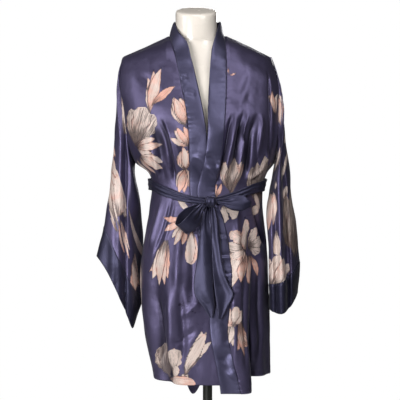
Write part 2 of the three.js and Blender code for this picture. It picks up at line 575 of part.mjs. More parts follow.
// ---- the display form and its stand ----
function displayForm() {
  const around = 30;
  const points = [];
  FORM.forEach((row) => {
    for (let i = 0; i < around; i++) {
      const turn = (2 * Math.PI * i) / around;
      const cosine = power(Math.cos(turn), 0.9);
      const sine = power(Math.sin(turn), 0.9);
      const x = row.cx + row.half * cosine;
      const throat = sine > 0 ? row.throat * Math.exp(-(((x - NECK.x) / THROAT) ** 2)) : 0;
      const y = row.cy - (sine > 0 ? row.front : row.back) * sine - throat;
      const shoulder = Math.min(1, (1 - Math.abs(cosine)) / 0.6);
      points.push(x, y, row.z + row.rise * shoulder + (row.tilt * y) / 56);
    }
  });
  const faces = [];
  const last = FORM.length - 1;
  const at = (row, i) => row * around + (i % around);
  for (let row = 0; row < last; row++)
    for (let i = 0; i < around; i++) {
      faces.push(at(row, i), at(row, i + 1), at(row + 1, i + 1));
      faces.push(at(row, i), at(row + 1, i + 1), at(row + 1, i));
    }
  for (const row of [0, last]) {
    const centre = points.length / 3;
    points.push(FORM[row].cx, FORM[row].cy, FORM[row].z + (FORM[row].tilt * FORM[row].cy) / 56);
    for (let i = 0; i < around; i++)
      faces.push(centre, ...(row ? [at(row, i), at(row, i + 1)] : [at(row, i + 1), at(row, i)]));
  }
  return solid(points, faces);
}

function turned(profile, segments) {
  const outline = profile.map(([radius, z]) => new THREE.Vector2(radius, z));
  return new THREE.LatheGeometry(outline, segments).rotateX(Math.PI / 2);
}

function basePlate() {
  const { baseRadius, baseThick, hub, hubTop } = STAND;
  return turned([
    [0, 0], [baseRadius - 2, 0], [baseRadius, 2], [baseRadius, baseThick - 3], [baseRadius - 4, baseThick],
    [hub + 6, baseThick + 2], [hub, baseThick + 6], [hub - 3, hubTop - 2], [hub - 5, hubTop], [0, hubTop],
  ], 32);
}

function pole() {
  const { pole: radius, hubTop, poleTop } = STAND;
  return turned([[0, hubTop + 0.3], [radius, hubTop + 0.3], [radius, poleTop], [0, poleTop]], 20);
}

function poleSocket() {
  const { pole: radius, poleTop, socket } = STAND;
  const inner = radius + 0.4;
  return turned([
    [inner, poleTop - SOCKET_DEPTH], [radius + 6, poleTop - SOCKET_DEPTH], [radius + 7, poleTop - 8],
    [socket, poleTop - 5], [socket, poleTop], [inner, poleTop], [inner, poleTop - SOCKET_DEPTH],
  ], 20);
}

// ---- the whole object ----
const finish = (color, roughness, metalness = 0) => new THREE.MeshStandardMaterial({ color, roughness, metalness });
const SATIN = finish(COLOURS.satin, 0.35);
const PLAIN = finish(COLOURS.band, 0.35);
const GLOSSY = finish(COLOURS.form, 0.2);
const BLACK = finish(COLOURS.metal, 0.45, 0.4);

const group = new THREE.Group();
function piece(name, geometry, material) {
  const mesh = new THREE.Mesh(geometry, material);
  mesh.name = name;
  group.add(mesh);
  return mesh;
}

piece("back", back(), SATIN);
piece("front_right", rightFront(), SATIN);
piece("front_left", leftFront(), SATIN);
for (const name of ["right", "left"]) {
  piece("neckband_" + name, neckband(name), PLAIN);
  piece("sleeve_" + name, sleeveWall(name, 0, CUFF_START - 0.0018, 12, 0, CLOTH), SATIN);
  piece("cuff_" + name, sleeveWall(name, CUFF_START + 0.0018, 1, 3, 0.4, CLOTH + 0.8), PLAIN);
  piece("belt_tail_" + name, tail(name), PLAIN);
  piece("bow_loop_" + name, loop(name), PLAIN);
}
piece("belt", belt(), PLAIN);
const knotDepth = layer(frontTurn(KNOT.x, KNOT.z), KNOT.z, KNOT.off).y;
piece("belt_knot", knot(), PLAIN).position.set(KNOT.x, knotDepth, KNOT.z);
piece("dress_form", displayForm(), GLOSSY);
piece("stand_socket", poleSocket(), BLACK);
piece("stand_pole", pole(), BLACK);
piece("stand_base", basePlate(), BLACK);

export default group;
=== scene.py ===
"""A short satin wrap gown with a tied sash, on a limbless display form with a pole stand.

Lengths in the tables are millimetres, with +X towards the wearer's left and -Y towards the front. A turn
runs round the body in degrees: 0 is the wearer's left side, 90 the front, 180 the right side, 270 the back.
"""
import math

import bpy
import numpy as np
from bpy.props import FloatProperty, FloatVectorProperty, PointerProperty
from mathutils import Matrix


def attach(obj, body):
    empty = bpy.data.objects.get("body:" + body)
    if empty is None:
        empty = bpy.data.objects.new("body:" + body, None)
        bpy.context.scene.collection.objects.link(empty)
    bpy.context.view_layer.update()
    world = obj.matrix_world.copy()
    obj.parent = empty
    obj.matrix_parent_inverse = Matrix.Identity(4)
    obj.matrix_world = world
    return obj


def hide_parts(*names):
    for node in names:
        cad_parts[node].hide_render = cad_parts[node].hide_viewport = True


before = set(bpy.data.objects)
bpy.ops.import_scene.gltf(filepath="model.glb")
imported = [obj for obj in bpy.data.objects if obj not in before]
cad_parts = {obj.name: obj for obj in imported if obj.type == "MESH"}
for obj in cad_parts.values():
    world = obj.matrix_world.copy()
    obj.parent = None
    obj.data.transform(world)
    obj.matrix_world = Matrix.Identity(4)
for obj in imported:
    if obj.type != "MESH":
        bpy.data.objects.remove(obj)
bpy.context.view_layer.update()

bl_info = {
    "name": "Dressing gown on a display form",
    "version": (1, 0, 0),
    "blender": (4, 5, 0),
    "location": "View3D > Sidebar > Gown",
    "description": "Builds a satin wrap gown, its sash and bow, and the form and stand that carry it",
    "category": "Add Mesh",
}

MM = 0.001
SEED = 11

# ---- the gown's sizes ----
UNDERARM = 862
SHOULDER_TIP = 1142
ARMHOLE_TURN = 21  # how far round from the side the armhole's edges lie
SQUARENESS = 0.8  # power of a section's sine and cosine: less is squarer
THINNEST = 0.2  # half the body's depth along the shoulder seam, where front and back meet
SHOULDER_SHARE = 0.6  # share of half the width over which the shoulder climbs to the neck
NECK = {"x": -28, "half": 74, "back": 62, "back_from": 1085, "drop": 7, "drop_from": 1105}
SHOULDER_FROM = 1100  # above it a layer is lifted upwards and no longer outwards
OVERLAP = {"gap": 0.4, "lift": 5, "turns": (14, 44), "levels": (950, 1050)}
HEM = {"right": 304, "front": 296, "wrap": 275, "left": 312, "back": 303}
# The turns from the side seam between which a front's hem goes from the side's height to the front's.
HEM_TURNS = {"right": (10, 60), "left": (46, 58)}
HEM_REACH = 450  # the level up to which the hem's shape lowers the cloth
BACK_DIP = {"x": -39, "width": 30, "depth": 74}
LOW_LEVEL = 300
GRID = 3.2  # spacing of the cloth's mesh
HEM_ROW = 5  # how many rows above the hem it is sewn down
CUFF_ROW = -3  # the row of a cuff's stitches, from its sewn edge
STITCH = {"first": 2.0, "pitch": 4.6, "length": 3.0, "thick": 0.28, "sunk": 0.2}
BOX_FACES = np.array([[0, 2, 3, 1], [4, 5, 7, 6], [0, 1, 5, 4], [2, 6, 7, 3], [0, 4, 6, 2], [1, 3, 7, 5]])
SEAM_SEEDS = {"right": 5, "left": 6}  # a front and its half of the neckband pucker alike along their seam
PUCKER_REACH = 9

# Soft unevenness of each kind of sheet: height, length of a wave and seed of each of its parts.
UNEVEN = {
    "panel": ((2.0, 150, 1), (0.7, 55, 2)),
    "sleeve": ((1.8, 120, 1), (0.7, 50, 2)),
    "neckband": ((1.6, 110, 1), (0.8, 45, 3)),
    "belt": ((0.8, 60, 4),),
    "tail": ((0.8, 60, 5),),
    "loop": ((0.8, 50, 6),),
}
WAVES = 14
WAVES_TOGETHER = 3.7  # how high that many waves stand together, about the square root of their number


class Table:
    """Rows of numbers under named columns, read at a place along the first column by a smooth curve."""

    def __init__(self, names, *rows):
        self.names = names.split()
        rows = np.array(rows, float)
        self.rows = rows if rows[-1, 0] > rows[0, 0] else rows[::-1]

    def __call__(self, name, place):
        key = self.rows[:, 0]
        value = self.rows[:, self.names.index(name)]
        slope = np.empty(len(key))
        slope[1:-1] = (value[2:] - value[:-2]) / (key[2:] - key[:-2])
        slope[0] = (value[1] - value[0]) / (key[1] - key[0])
        slope[-1] = (value[-1] - value[-2]) / (key[-1] - key[-2])
        place = np.asarray(place, float)
        k = np.clip(np.searchsorted(key, place) - 1, 0, len(key) - 2)
        span = key[k + 1] - key[k]
        share = np.clip((place - key[k]) / span, 0, 1)
        squared = share * share
        cubed = squared * share
        return (
            value[k] * (2 * cubed - 3 * squared + 1)
            + slope[k] * span * (cubed - 2 * squared + share)
            + value[k + 1] * (3 * squared - 2 * cubed)
            + slope[k + 1] * span * (cubed - squared)
        )


# Sections of the body by level, which is a section's height at its sides: its middle, half width, depths to
# the front and back, and how far it rises towards the neck.
BODY = Table(
    "level middle half front back rise",
    (190, 8, 151, 139, 124, 0),
    (300, 8, 153, 141, 128, 0),
    (420, -4, 163, 142, 134, 0),
    (540, -9, 167, 138, 136, 0),
    (660, -7, 160, 124, 124, 0),
    (745, -5, 150, 109, 105, 0),
    (800, -2, 148, 103, 98, 0),
    (835, 0, 158, 110, 102, 0),
    (862, -7, 183, 118, 106, 0),
    (935, -15, 202, 130, 110, 0),
    (1000, -18, 213, 119, 108, 0),
    (1060, -23, 216, 94, 97, 15),
    (1105, -26, 207, 68, 76, 36),
    (1130, -27, 200, 40, 48, 48),
    (1142, -27, 196, 0, 0, 57),
)

# Long folds of the body: turn, drift of the turn for each 100 mm down, width in degrees, height, and the
# levels where a fold starts, is full and has gone. One that reaches the hem has 0 for the last.
FOLDS = (
    (113, 0, 12, 8, 735, 480, 0),
    (131, 0.5, 9, -13, 720, 400, 0),
    (154, 0, 10, 6, 740, 430, 0),
    (62, 0.3, 9, 13, 745, 480, 0),
    (46, 0.4, 7, -24, 735, 440, 0),
    (12, 0, 10, 5, 740, 420, 0),
    (199, 0, 10, -9, 740, 430, 0),
    (221, 0, 11, 10, 735, 420, 0),
    (243, 0.4, 9, -11, 745, 430, 0),
    (266, 0, 11, 9, 735, 400, 0),
    (289, -0.3, 9, -12, 745, 430, 0),
    (312, 0, 11, 9, 740, 420, 0),
    (336, 0, 9, -9, 745, 440, 0),
    (116, 2.6, 5, -9, 1000, 900, 800),
    (136, 1.2, 8, 6, 960, 860, 800),
    (67, -4.2, 5, -10, 1000, 900, 790),
    (53, -3.6, 5, -8, 1000, 890, 790),
    (235, 0, 10, 6, 990, 870, 800),
    (256, -1, 7, -7, 1000, 880, 800),
    (284, 1, 7, -7, 1000, 880, 800),
    (305, 0, 10, 6, 990, 870, 800),
)

# The two front edges: where each half of the neckband is sewn on, and the band's own free edge.
FRONT_EDGES = Table(
    "level right_seam right_free left_seam left_free",
    (190, 46, 96, 86, 37),
    (300, 42, 92, 80, 31),
    (420, 25, 75, 51, 6),
    (480, 16, 66, 53, 4),
    (540, 5, 55, 60, 11),
    (600, -7, 43, 58, 9),
    (660, -20, 30, 50, 2),
    (715, -33, 17, 38, -9),
    (765, -42, 9, 21, -25),
    (800, -46, 4, 20, -26),
    (862, -47.5, 2, 32, -10),
    (935, -49.5, -3.5, 40, -1),
    (1000, -57, -13, 45, 0),
    (1060, -71, -29, 48, 4),
    (1105, -84, -48, 47, 10),
    (1118, -90, -57, 46.5, 16),
    (1134, -97, -80, 46, 25),
    (1142, -102, -91, 46, 33),
)
STANDING_EDGE = Table(
    "level y z",
    (1050, -104, 1066),
    (1090, -92, 1122),
    (1118, -69, 1178),
    (1134, -43, 1209),
    (1142, -4, 1238),
)
NECKBAND_BACK = {"half": 62, "depth": 66, "height": 1240, "seam": 1200}
# Levels between which the neckband's free edge and the whole band rise off the body.
STANDING = {"free": (1040, 1100), "band": (1000, 1100)}
SEAM_ALLOWANCE = 1.0
# The neckband's columns, its steps round the neck, and rows and rounds of smoothing where its parts join.
NECKBAND_GRID = {"columns": 17, "turns": 38, "smoothed": 12, "rounds": 30}

# Sleeves by share of their length: lines of the overarm fold and the underarm seam, half the depth, how far
# the underarm lies to the back, the rounding below the shoulder and the drop of the middle.
SLEEVES = {
    "right": Table(
        "at over_x over_z under_x under_z depth back full drop",
        (0, -224, 1142, -196, 862, 40, 0, 12, 0),
        (0.06, -233, 1120, -194, 842, 43, 3, 14, 0),
        (0.14, -238, 1080, -188, 812, 46, 8, 15, 0),
        (0.32, -242, 985, -179, 742, 46, 34, 6, 0),
        (0.5, -249, 880, -173, 665, 46, 58, 0, 0),
        (0.68, -260, 780, -172, 585, 48, 60, 0, 0),
        (0.84, -272, 698, -176, 508, 50, 46, 0, -8),
        (1, -290, 617, -198, 424, 50, 20, 0, -20),
    ),
    "left": Table(
        "at over_x over_z under_x under_z depth back full drop",
        (0, 172, 1142, 178, 862, 40, 0, 18, 0),
        (0.06, 181, 1120, 175, 842, 45, -5, 20, 0),
        (0.14, 189, 1080, 169, 815, 50, -14, 20, 0),
        (0.32, 198, 975, 157, 750, 53, -46, 9, 0),
        (0.5, 213, 860, 154, 686, 56, -66, 0, 4),
        (0.68, 229, 737, 155, 618, 60, -70, 0, 12),
        (0.84, 240, 610, 158, 550, 62, -66, 0, 18),
        (1, 235, 522, 162, 482, 62, -58, 0, 26),
    ),
}
SLEEVE_LENGTH = 560
CUFF_LEVEL = 430
SLEEVE_MIDDLE = {"right": -215, "left": 192}
BACK_DROP = {"right": 1, "left": 0}  # how much of the drop the back half of a sleeve shares
FRONT_LAG = {"right": 5, "left": 0.55}  # how late the front half follows the underarm back: more is later
FRONT_ROUND = {"right": 0.34, "left": 0.6}  # how round the front half is: less is boxier
BACK_ROUND = 0.85
WIDE_HALF = {"right": 1, "left": -1}  # the half, 1 front or -1 back, that keeps wide at mid length
OUTSIDE = {"right": -1, "left": 1}
CUFF_START = 0.845
# How far sleeve and cuff reach past their seam, as shares of the length, and how far the cuff stands out.
CUFF_SEAM = {"under": 0.003, "over": 0.004, "lift": 0.4, "step": 0.9}
# Even steps down an armhole's edge, as rows of the levels that follow, from the shoulder to the underarm.
ARMHOLE_ROWS = np.array([0, 1, 2, 2.5, 3, 3.5, 4, 4.5, 5, 5.5, 6, 6.5, 7, 7.5, 8])
TOP_LEVELS = np.array([1142, 1134, 1118, 1090, 1050, 1000, 950, 905, 862])

# Upright folds of the sleeves: side, x at the shoulder, x at the cuff, width, height, start, full.
SLEEVE_FOLDS = {
    "right": (
        (1, -214, -216, 3.6, -9, 1120, 1000),
        (1, -225, -229, 9, 7, 1080, 950),
        (1, -193, -195, 13, 17, 1060, 900),
        (1, -240, -246, 12, 6, 1000, 700),
        (-1, -226, -236, 10, -12, 1080, 900),
        (-1, -204, -212, 12, 8, 900, 700),
    ),
    "left": (
        (1, 166, 176, 6, -14, 900, 780),
        (1, 186, 208, 7, -20, 960, 800),
        (1, 176, 192, 9, 5, 960, 800),
        (-1, 192, 208, 9, -14, 1060, 860),
    ),
}

BELT = Table(
    "turn middle half off",
    (0, 806, 17, 4),
    (22, 803, 16, 6.8),
    (40, 796, 15, 8.8),
    (70, 772, 11, 9.4),
    (86, 761, 9, 9.6),
    (104, 766, 10, 9.4),
    (130, 785, 13, 6),
    (160, 803, 15, 3.4),
    (200, 808, 17, 3),
    (270, 812, 18, 3),
    (340, 808, 17, 3),
    (360, 806, 17, 4),
)
KNOT = {"x": 7, "z": 760, "half": 14.5, "height": 14, "depth": 11, "off": 26}
TAILS = {
    "right": Table(
        "z x half off",
        (744, 1, 5, 12.4),
        (716, -4, 10, 12.4),
        (660, -5, 17, 12.6),
        (590, -9, 22, 13),
        (550, -11, 25, 13.5),
        (520, -8, 24, 14),
        (496, 2, 15, 14.5),
        (468, 8, 4, 15),
    ),
    "left": Table(
        "z x half off",
        (744, 14, 5, 15.6),
        (716, 18, 8, 15.8),
        (660, 20, 11, 16),
        (600, 24, 13, 16.4),
        (555, 32, 18, 17),
        (525, 41, 24, 17.5),
        (498, 36, 16, 18),
        (464, 29, 4, 18.5),
    ),
}
LOOPS = {
    "right": {
        "start": (-8, -144, 757),
        "reach": (-62, -4, -66),
        "across": (0.6, 0.5, -0.62),
        "half": 21,
        "open": 25,
        "taper": 0.1,
    },
    "left": {
        "start": (22, -144, 761),
        "reach": (88, 4, -8),
        "across": (0.08, 0.2, 0.97),
        "half": 19,
        "open": 12,
        "taper": 0.6,
    },
}


# ---- small helpers ----
def mix(a, b, share):
    """Between two numbers."""
    return a + (b - a) * share


def smooth(value, start, end):
    """0 below start and 1 above end, with a soft step between them."""
    share = np.clip((value - start) / (end - start), 0, 1)
    return share * share * (3 - 2 * share)


def power(value, exponent):
    """A power that keeps the value's sign."""
    return np.sign(value) * np.abs(value) ** exponent


def vector(x, y, z):
    return np.stack(np.broadcast_arrays(x, y, z), -1).astype(float)


def unit(vectors):
    return vectors / np.maximum(np.linalg.norm(vectors, axis=-1, keepdims=True), 1e-9)


def lerp(a, b, share):
    """Between two points."""
    return a + (b - a) * np.asarray(share)[..., None]


def lengths_along(line):
    """How far along a line of points each of them lies."""
    return np.concatenate([[0], np.cumsum(np.linalg.norm(np.diff(line, axis=0), axis=-1))])


def normal_of(surface, u, v, step_u=0.5, step_v=-1.5):
    along_u = surface(u + step_u, v) - surface(u - step_u, v)
    along_v = surface(u, v + step_v) - surface(u, v - step_v)
    return unit(np.cross(along_u, along_v))


# ---- the gown's body as a surface ----
def fold_height(turn, level):
    """How far the long folds stand out of the body."""
    height = 0
    for middle, lean, width, full_height, start, full, gone in FOLDS:
        away = (turn - middle - lean * (start - level) / 100 + 180) % 360 - 180
        started = 1 - smooth(level, full, start)
        left = smooth(level, gone, full) if gone else 1
        height = height + full_height * started * left * np.exp(-((away / width) ** 2))
    return height


def section(turn, level):
    """A point of the smooth body. Towards the neck the back's depth gives way to the neck's own curve."""
    cosine = power(np.cos(np.radians(turn)), SQUARENESS)
    sine = power(np.sin(np.radians(turn)), SQUARENESS)
    x = BODY("middle", level) + BODY("half", level) * cosine
    near_neck = np.sqrt(np.maximum(0, 1 - ((x - NECK["x"]) / NECK["half"]) ** 2))
    neck_depth = NECK["back"] * near_neck * smooth(level, NECK["back_from"], SHOULDER_TIP)
    back_depth = (np.abs(BODY("back", level) * sine) ** 4 + neck_depth**4) ** 0.25
    depth = np.maximum(THINNEST, np.where(sine > 0, BODY("front", level) * sine, back_depth))
    shoulder = np.minimum(1, (1 - np.abs(cosine)) / SHOULDER_SHARE)
    drop = NECK["drop"] * near_neck * smooth(level, NECK["drop_from"], SHOULDER_TIP)
    height = level + BODY("rise", level) * shoulder - np.where(sine < 0, drop, 0)
    return vector(x, np.where(sine > 0, -depth, depth), height)


def body(turn, level):
    """A point of the body with its long folds."""
    outwards = normal_of(section, turn, level)
    return section(turn, level) + outwards * fold_height(turn, level)[..., None]


def out_of(turn, level):
    """The way in which a layer is lifted off the body: outwards, and upwards on the shoulder."""
    square = normal_of(body, turn, level)
    return unit(lerp(square, np.array([0.0, 0, 1]), smooth(level, SHOULDER_FROM, SHOULDER_TIP)))


def layer(turn, level, lift):
    """A point that stands off the body by a lift."""
    turn, level, lift = np.broadcast_arrays(turn, level, lift)
    return body(turn, level) + out_of(turn, level) * lift[..., None]


def front_turn(x, level):
    """The turn at which the body's front passes x."""
    share = np.clip((x - BODY("middle", level)) / BODY("half", level), -1, 1)
    return np.degrees(np.arccos(power(share, 1 / SQUARENESS)))


def armhole_turn(level):
    """How far round from the side the armhole's edge lies."""
    share = np.clip((level - UNDERARM) / (SHOULDER_TIP - UNDERARM), 0, 1)
    return ARMHOLE_TURN * np.sin(np.pi * share) ** 0.8


def wrap_lift(turn, level):
    """How far the wearer's left front stands off the body, to lie over the right one."""
    low = 1 - smooth(level, *OVERLAP["levels"])
    return OVERLAP["gap"] + OVERLAP["lift"] * smooth(turn, *OVERLAP["turns"]) * low


def no_lift(turn, level):
    """The lift of a panel that lies on the body."""
    return np.zeros(level.shape)


def hem_height(turn, x, is_wrap):
    """The hem's height, of the wearer's left front where is_wrap is true."""
    dip = BACK_DIP["depth"] * np.exp(-(((x - BACK_DIP["x"]) / BACK_DIP["width"]) ** 2))
    if is_wrap:
        front = mix(HEM["left"], HEM["wrap"], smooth(turn, *HEM_TURNS["left"]))
    else:
        front = mix(HEM["right"], HEM["front"], smooth(180 - turn, *HEM_TURNS["right"]))
    return np.where(turn > 180, HEM["back"] - dip, front)


def panel_point(turn, level, lift, is_wrap):
    """A point of a panel, whose lowest level is drawn to the hem."""
    hem = hem_height(turn, section(turn, level)[..., 0], is_wrap)
    lowered = level - (LOW_LEVEL - hem) * (1 - smooth(level, LOW_LEVEL, HEM_REACH))
    return layer(turn, lowered, lift)


# ---- sheets of cloth ----
TURNED_AWAY = 1000.0  # added to the distance of points on the other side of a sleeve


class Sheet:
    """A piece of cloth as a grid of points, with its own lengths across and up the cloth."""

    def __init__(self, points, outwards, closed=False, side=1, middle=None, flattened=0.0):
        self.points = points
        self.outwards = outwards
        self.closed = closed
        self.side = side  # 1 where the across length grows towards +X, -1 where it grows towards -X
        rises = np.linalg.norm(np.diff(points, axis=0), axis=-1)
        self.up = np.concatenate([np.zeros((1, points.shape[1])), np.cumsum(rises, axis=0)], axis=0)
        steps = np.linalg.norm(np.diff(points, axis=1), axis=-1)
        self.across = self.lengths_across(steps, middle)
        sideways = np.abs(np.diff(points[..., 0], axis=1))
        self.print_across = self.lengths_across(mix(steps, sideways, flattened), middle)

    def lengths_across(self, steps, middle):
        across = np.concatenate([np.zeros((len(steps), 1)), np.cumsum(steps, axis=1)], axis=1)
        if middle is not None:
            across = across - np.array([middle(*pair) for pair in zip(self.points, across)])[:, None]
        return across * self.side

    def normals(self):
        along = np.gradient(self.points, axis=1)
        if self.closed:
            along[:, 0] = along[:, -1] = self.points[:, 1] - self.points[:, -2]
        upwards = np.gradient(self.points, axis=0)
        normals = unit(np.cross(along, upwards))
        faces_inwards = np.sum(normals * self.outwards(self.points)) < 0
        return -normals if faces_inwards else normals

    def place(self, x, z, facing=-1, across=None):
        """The cloth lengths at the point seen at x and z from the front (facing -1) or from behind (1)."""
        away = np.hypot(self.points[..., 0] - x, self.points[..., 2] - z)
        away = away + TURNED_AWAY * (self.facing * facing < 0)
        j, i = np.unravel_index(np.argmin(away), away.shape)
        lengths = self.across if across is None else across
        return lengths[j, i], self.up[j, i]

    def settle(self):
        """Keeps which way each point faces before its small creases are pressed in."""
        self.facing = np.sign(self.normals()[..., 1])

    def press(self, height):
        self.points = self.points + self.normals() * height[..., None]


def crossing(x):
    """Finds how far along a row its x comes to the given one, for rows that run one way in x."""

    def find(row, lengths):
        order = np.argsort(row[:, 0])
        return np.interp(x, row[order, 0], lengths[order])

    return find


def unevenness(points, amount, wavelength, seed):
    """A soft random height that is the same for neighbouring sheets where they meet."""
    random = np.random.default_rng(SEED + seed)
    height = np.zeros(points.shape[:-1])
    for _ in range(WAVES):
        direction = unit(random.normal(size=3) * np.array([1, 1, 0.55]))
        wave = direction * 2 * np.pi / (wavelength * random.uniform(0.7, 1.5))
        height += np.sin(points @ wave + random.uniform(0, 2 * np.pi))
    return height * amount / WAVES_TOGETHER


def uneven(sheet, kind):
    """All the unevenness of one kind of sheet."""
    return sum(unevenness(sheet.points, *part) for part in UNEVEN[kind])


# Creases pressed into the sheets, seen from their own side: x and z of both ends, bend as a share of the
# length, width and height, which is below 0 for a trough.
CREASES = {
    "front_right": (
        (-124, 972, -84, 806, 0.03, 6, -9),
        (-112, 968, -74, 800, 0.03, 6, 5),
        (-142, 958, -112, 812, 0.02, 8, -5),
        (-98, 960, -66, 806, 0.04, 9, 4),
        (-150, 900, -128, 815, 0.1, 7, 6),
        (-93, 772, -140, 615, 0.03, 4, -5),
        (-84, 772, -126, 605, 0.03, 5, 4),
        (-118, 765, -150, 640, 0, 8, 5),
        (-60, 752, -78, 520, -0.02, 10, 7),
        (-100, 540, -94, 330, 0, 11, 7),
        (-75, 560, -70, 320, 0, 10, -7),
        (-45, 700, -44, 500, 0.02, 9, -6),
        (-128, 520, -120, 340, 0.02, 8, -7),
        (-30, 440, -90, 400, 0.08, 9, -4),
        (-20, 520, -70, 470, 0.1, 8, 4),
        (-150, 1110, -70, 1100, 0.06, 14, -3),
        (-180, 1090, -120, 1010, 0.1, 12, -4),
    ),
    "front_left": (
        (76, 985, 42, 812, -0.03, 7, 10),
        (64, 986, 31, 812, -0.03, 5, -12),
        (90, 988, 62, 812, -0.03, 7, -13),
        (104, 985, 76, 812, -0.05, 6, 8),
        (122, 978, 98, 815, -0.04, 7, -12),
        (138, 985, 124, 865, 0.03, 7, 7),
        (152, 895, 100, 818, 0.2, 6, 9),
        (150, 872, 112, 812, 0.2, 6, -9),
        (164, 1106, 70, 1000, 0.04, 34, 8),
        (154, 1100, 157, 880, 0.02, 4, -7),
        (112, 770, 150, 640, -0.05, 8, -8),
        (70, 750, 84, 560, 0, 9, 6),
        (92, 600, 98, 330, 0, 8, -9),
        (62, 560, 68, 330, 0, 10, 6),
        (125, 640, 128, 340, 0.02, 9, -8),
        (112, 560, 112, 330, -0.02, 8, 6),
    ),
    "back": (
        (-90, 1010, -60, 830, 0.04, 9, 7),
        (-60, 1010, -40, 830, 0.03, 7, -7),
        (50, 1010, 30, 830, -0.03, 8, -7),
        (80, 1010, 60, 830, -0.03, 9, 7),
        (-120, 960, -100, 830, 0.02, 8, -6),
        (-150, 1110, -70, 1060, 0.1, 16, 5),
        (110, 1110, 20, 1060, -0.1, 16, 5),
        (-70, 780, -90, 560, 0, 9, 7),
        (0, 780, 0, 520, 0, 9, 7),
        (60, 780, 80, 560, 0, 9, -6),
        (-120, 560, -118, 340, 0.02, 9, -7),
        (-35, 560, -30, 330, 0, 10, -6),
        (105, 560, 110, 330, 0, 9, 7),
        (40, 470, 44, 320, 0, 8, -5),
    ),
    "neckband_left": (
        (24, 678, 56, 671, 0.05, 3, -4),
        (28, 668, 54, 662, 0.1, 5, 3),
        (24, 622, 60, 626, 0.05, 3, -4),
        (28, 612, 58, 614, 0.1, 5, 3),
        (28, 580, 62, 574, 0.05, 3, -4),
        (-10, 880, 24, 846, 0.1, 7, -4),
        (-6, 850, 22, 812, 0.1, 6, 5),
        (40, 350, 84, 390, 0.1, 12, -5),
        (46, 320, 88, 336, -0.1, 12, 5),
        (36, 460, 52, 400, 0.1, 10, -4),
    ),
    "neckband_right": (
        (-44, 860, -6, 800, 0.1, 8, -4),
        (-36, 880, 4, 836, 0.12, 8, 4),
        (-60, 1040, -30, 1030, 0.1, 9, -3),
        (-76, 1075, -50, 1078, 0.1, 7, -3),
    ),
}


# The shares of a crease's length over which it comes up and dies away.
CREASE_STARTS = (-0.05, 0.3)
CREASE_ENDS = (0.75, 1.05)


def stroke(sheet, start, end, bend, width, facing):
    """Share along a stroke and distance from its line, for every point of a sheet."""
    a0, b0 = sheet.place(*start, facing)
    a1, b1 = sheet.place(*end, facing)
    length = math.hypot(a1 - a0, b1 - b0)
    along_a, along_b = (a1 - a0) / length, (b1 - b0) / length
    a, b = sheet.across - a0, sheet.up - b0
    along = (a * along_a + b * along_b) / length
    away = b * along_a - a * along_b - bend * length * 4 * along * (1 - along)
    return along, away / width


def creases(sheet, table, facing=-1):
    """Height of the creases of a table at every point of a sheet."""
    height = np.zeros(sheet.across.shape)
    for x0, z0, x1, z1, bend, width, full_height in table:
        along, away = stroke(sheet, (x0, z0), (x1, z1), bend, width, facing)
        faded = smooth(along, *CREASE_STARTS) * (1 - smooth(along, *CREASE_ENDS))
        height += full_height * faded * np.exp(-(away**2))
    return height


# ---- building meshes ----
def new_piece(name, vertices, faces, material):
    mesh = bpy.data.meshes.new(name)
    mesh.from_pydata(vertices, [], faces)
    piece = bpy.data.objects.new(name, mesh)
    bpy.context.scene.collection.objects.link(piece)
    mesh.materials.append(material)
    return piece


def select_only(piece):
    bpy.ops.object.select_all(action="DESELECT")
    piece.select_set(True)
    bpy.context.view_layer.objects.active = piece


def apply_modifier(piece, kind, **settings):
    select_only(piece)
    modifier = piece.modifiers.new(kind.title(), kind)
    for name, value in settings.items():
        setattr(modifier, name, value)
    bpy.ops.object.modifier_apply(modifier=modifier.name)


def sheet_piece(name, sheet, thickness, material, prints=None):
    """A thin shell of cloth whose outer side is the sheet."""
    rows, columns = sheet.points.shape[:2]
    across = columns - 1 if sheet.closed else columns
    index = np.arange(rows * across).reshape(rows, across)
    right = np.roll(index, -1, axis=1)
    if not sheet.closed:
        index, right = index[:, :-1], right[:, :-1]
    quads = np.stack([index[:-1], right[:-1], right[1:], index[1:]], -1).reshape(-1, 4)
    vertices = sheet.points[:, :across].reshape(-1, 3) * MM
    corner = [vertices[quads[:, k]] for k in range(3)]
    facing = np.cross(corner[1] - corner[0], corner[2] - corner[0])
    wanted = sheet.normals()[:-1, : columns - 1].reshape(-1, 3)
    flipped = np.sum(facing * wanted) < 0
    if flipped:
        quads = quads[:, ::-1]
    piece = new_piece(name, vertices.tolist(), quads.tolist(), material)
    mesh = piece.data
    uv_grid = np.stack([sheet.across, sheet.up], -1) * MM
    uv_corners = [uv_grid[:-1, :-1], uv_grid[:-1, 1:], uv_grid[1:, 1:], uv_grid[1:, :-1]]
    if flipped:
        uv_corners = uv_corners[::-1]
    uv = mesh.uv_layers.new(name="Cloth")
    uv.data.foreach_set("uv", np.stack(uv_corners, 2).reshape(-1).astype(np.float32))
    for attribute, values in (prints or {}).items():
        data = mesh.attributes.new(attribute, "FLOAT_VECTOR", "POINT").data
        data.foreach_set("vector", values[:, :across].reshape(-1).astype(np.float32))
    apply_modifier(piece, "SOLIDIFY", thickness=thickness, offset=-1.0, use_even_offset=False)
    mesh.shade_smooth()
    return piece


def flat_size(sheet):
    """Width, length and area of the cut piece of cloth, in metres."""
    width = float(np.ptp(sheet.across, axis=1).max()) * MM
    length = float(np.ptp(sheet.up, axis=0).max()) * MM
    edge_a = sheet.points[1:, :-1] - sheet.points[:-1, :-1]
    edge_b = sheet.points[:-1, 1:] - sheet.points[:-1, :-1]
    area = float(np.linalg.norm(np.cross(edge_a, edge_b), axis=-1).sum()) * MM * MM
    return (width, length), min(area, width * length)


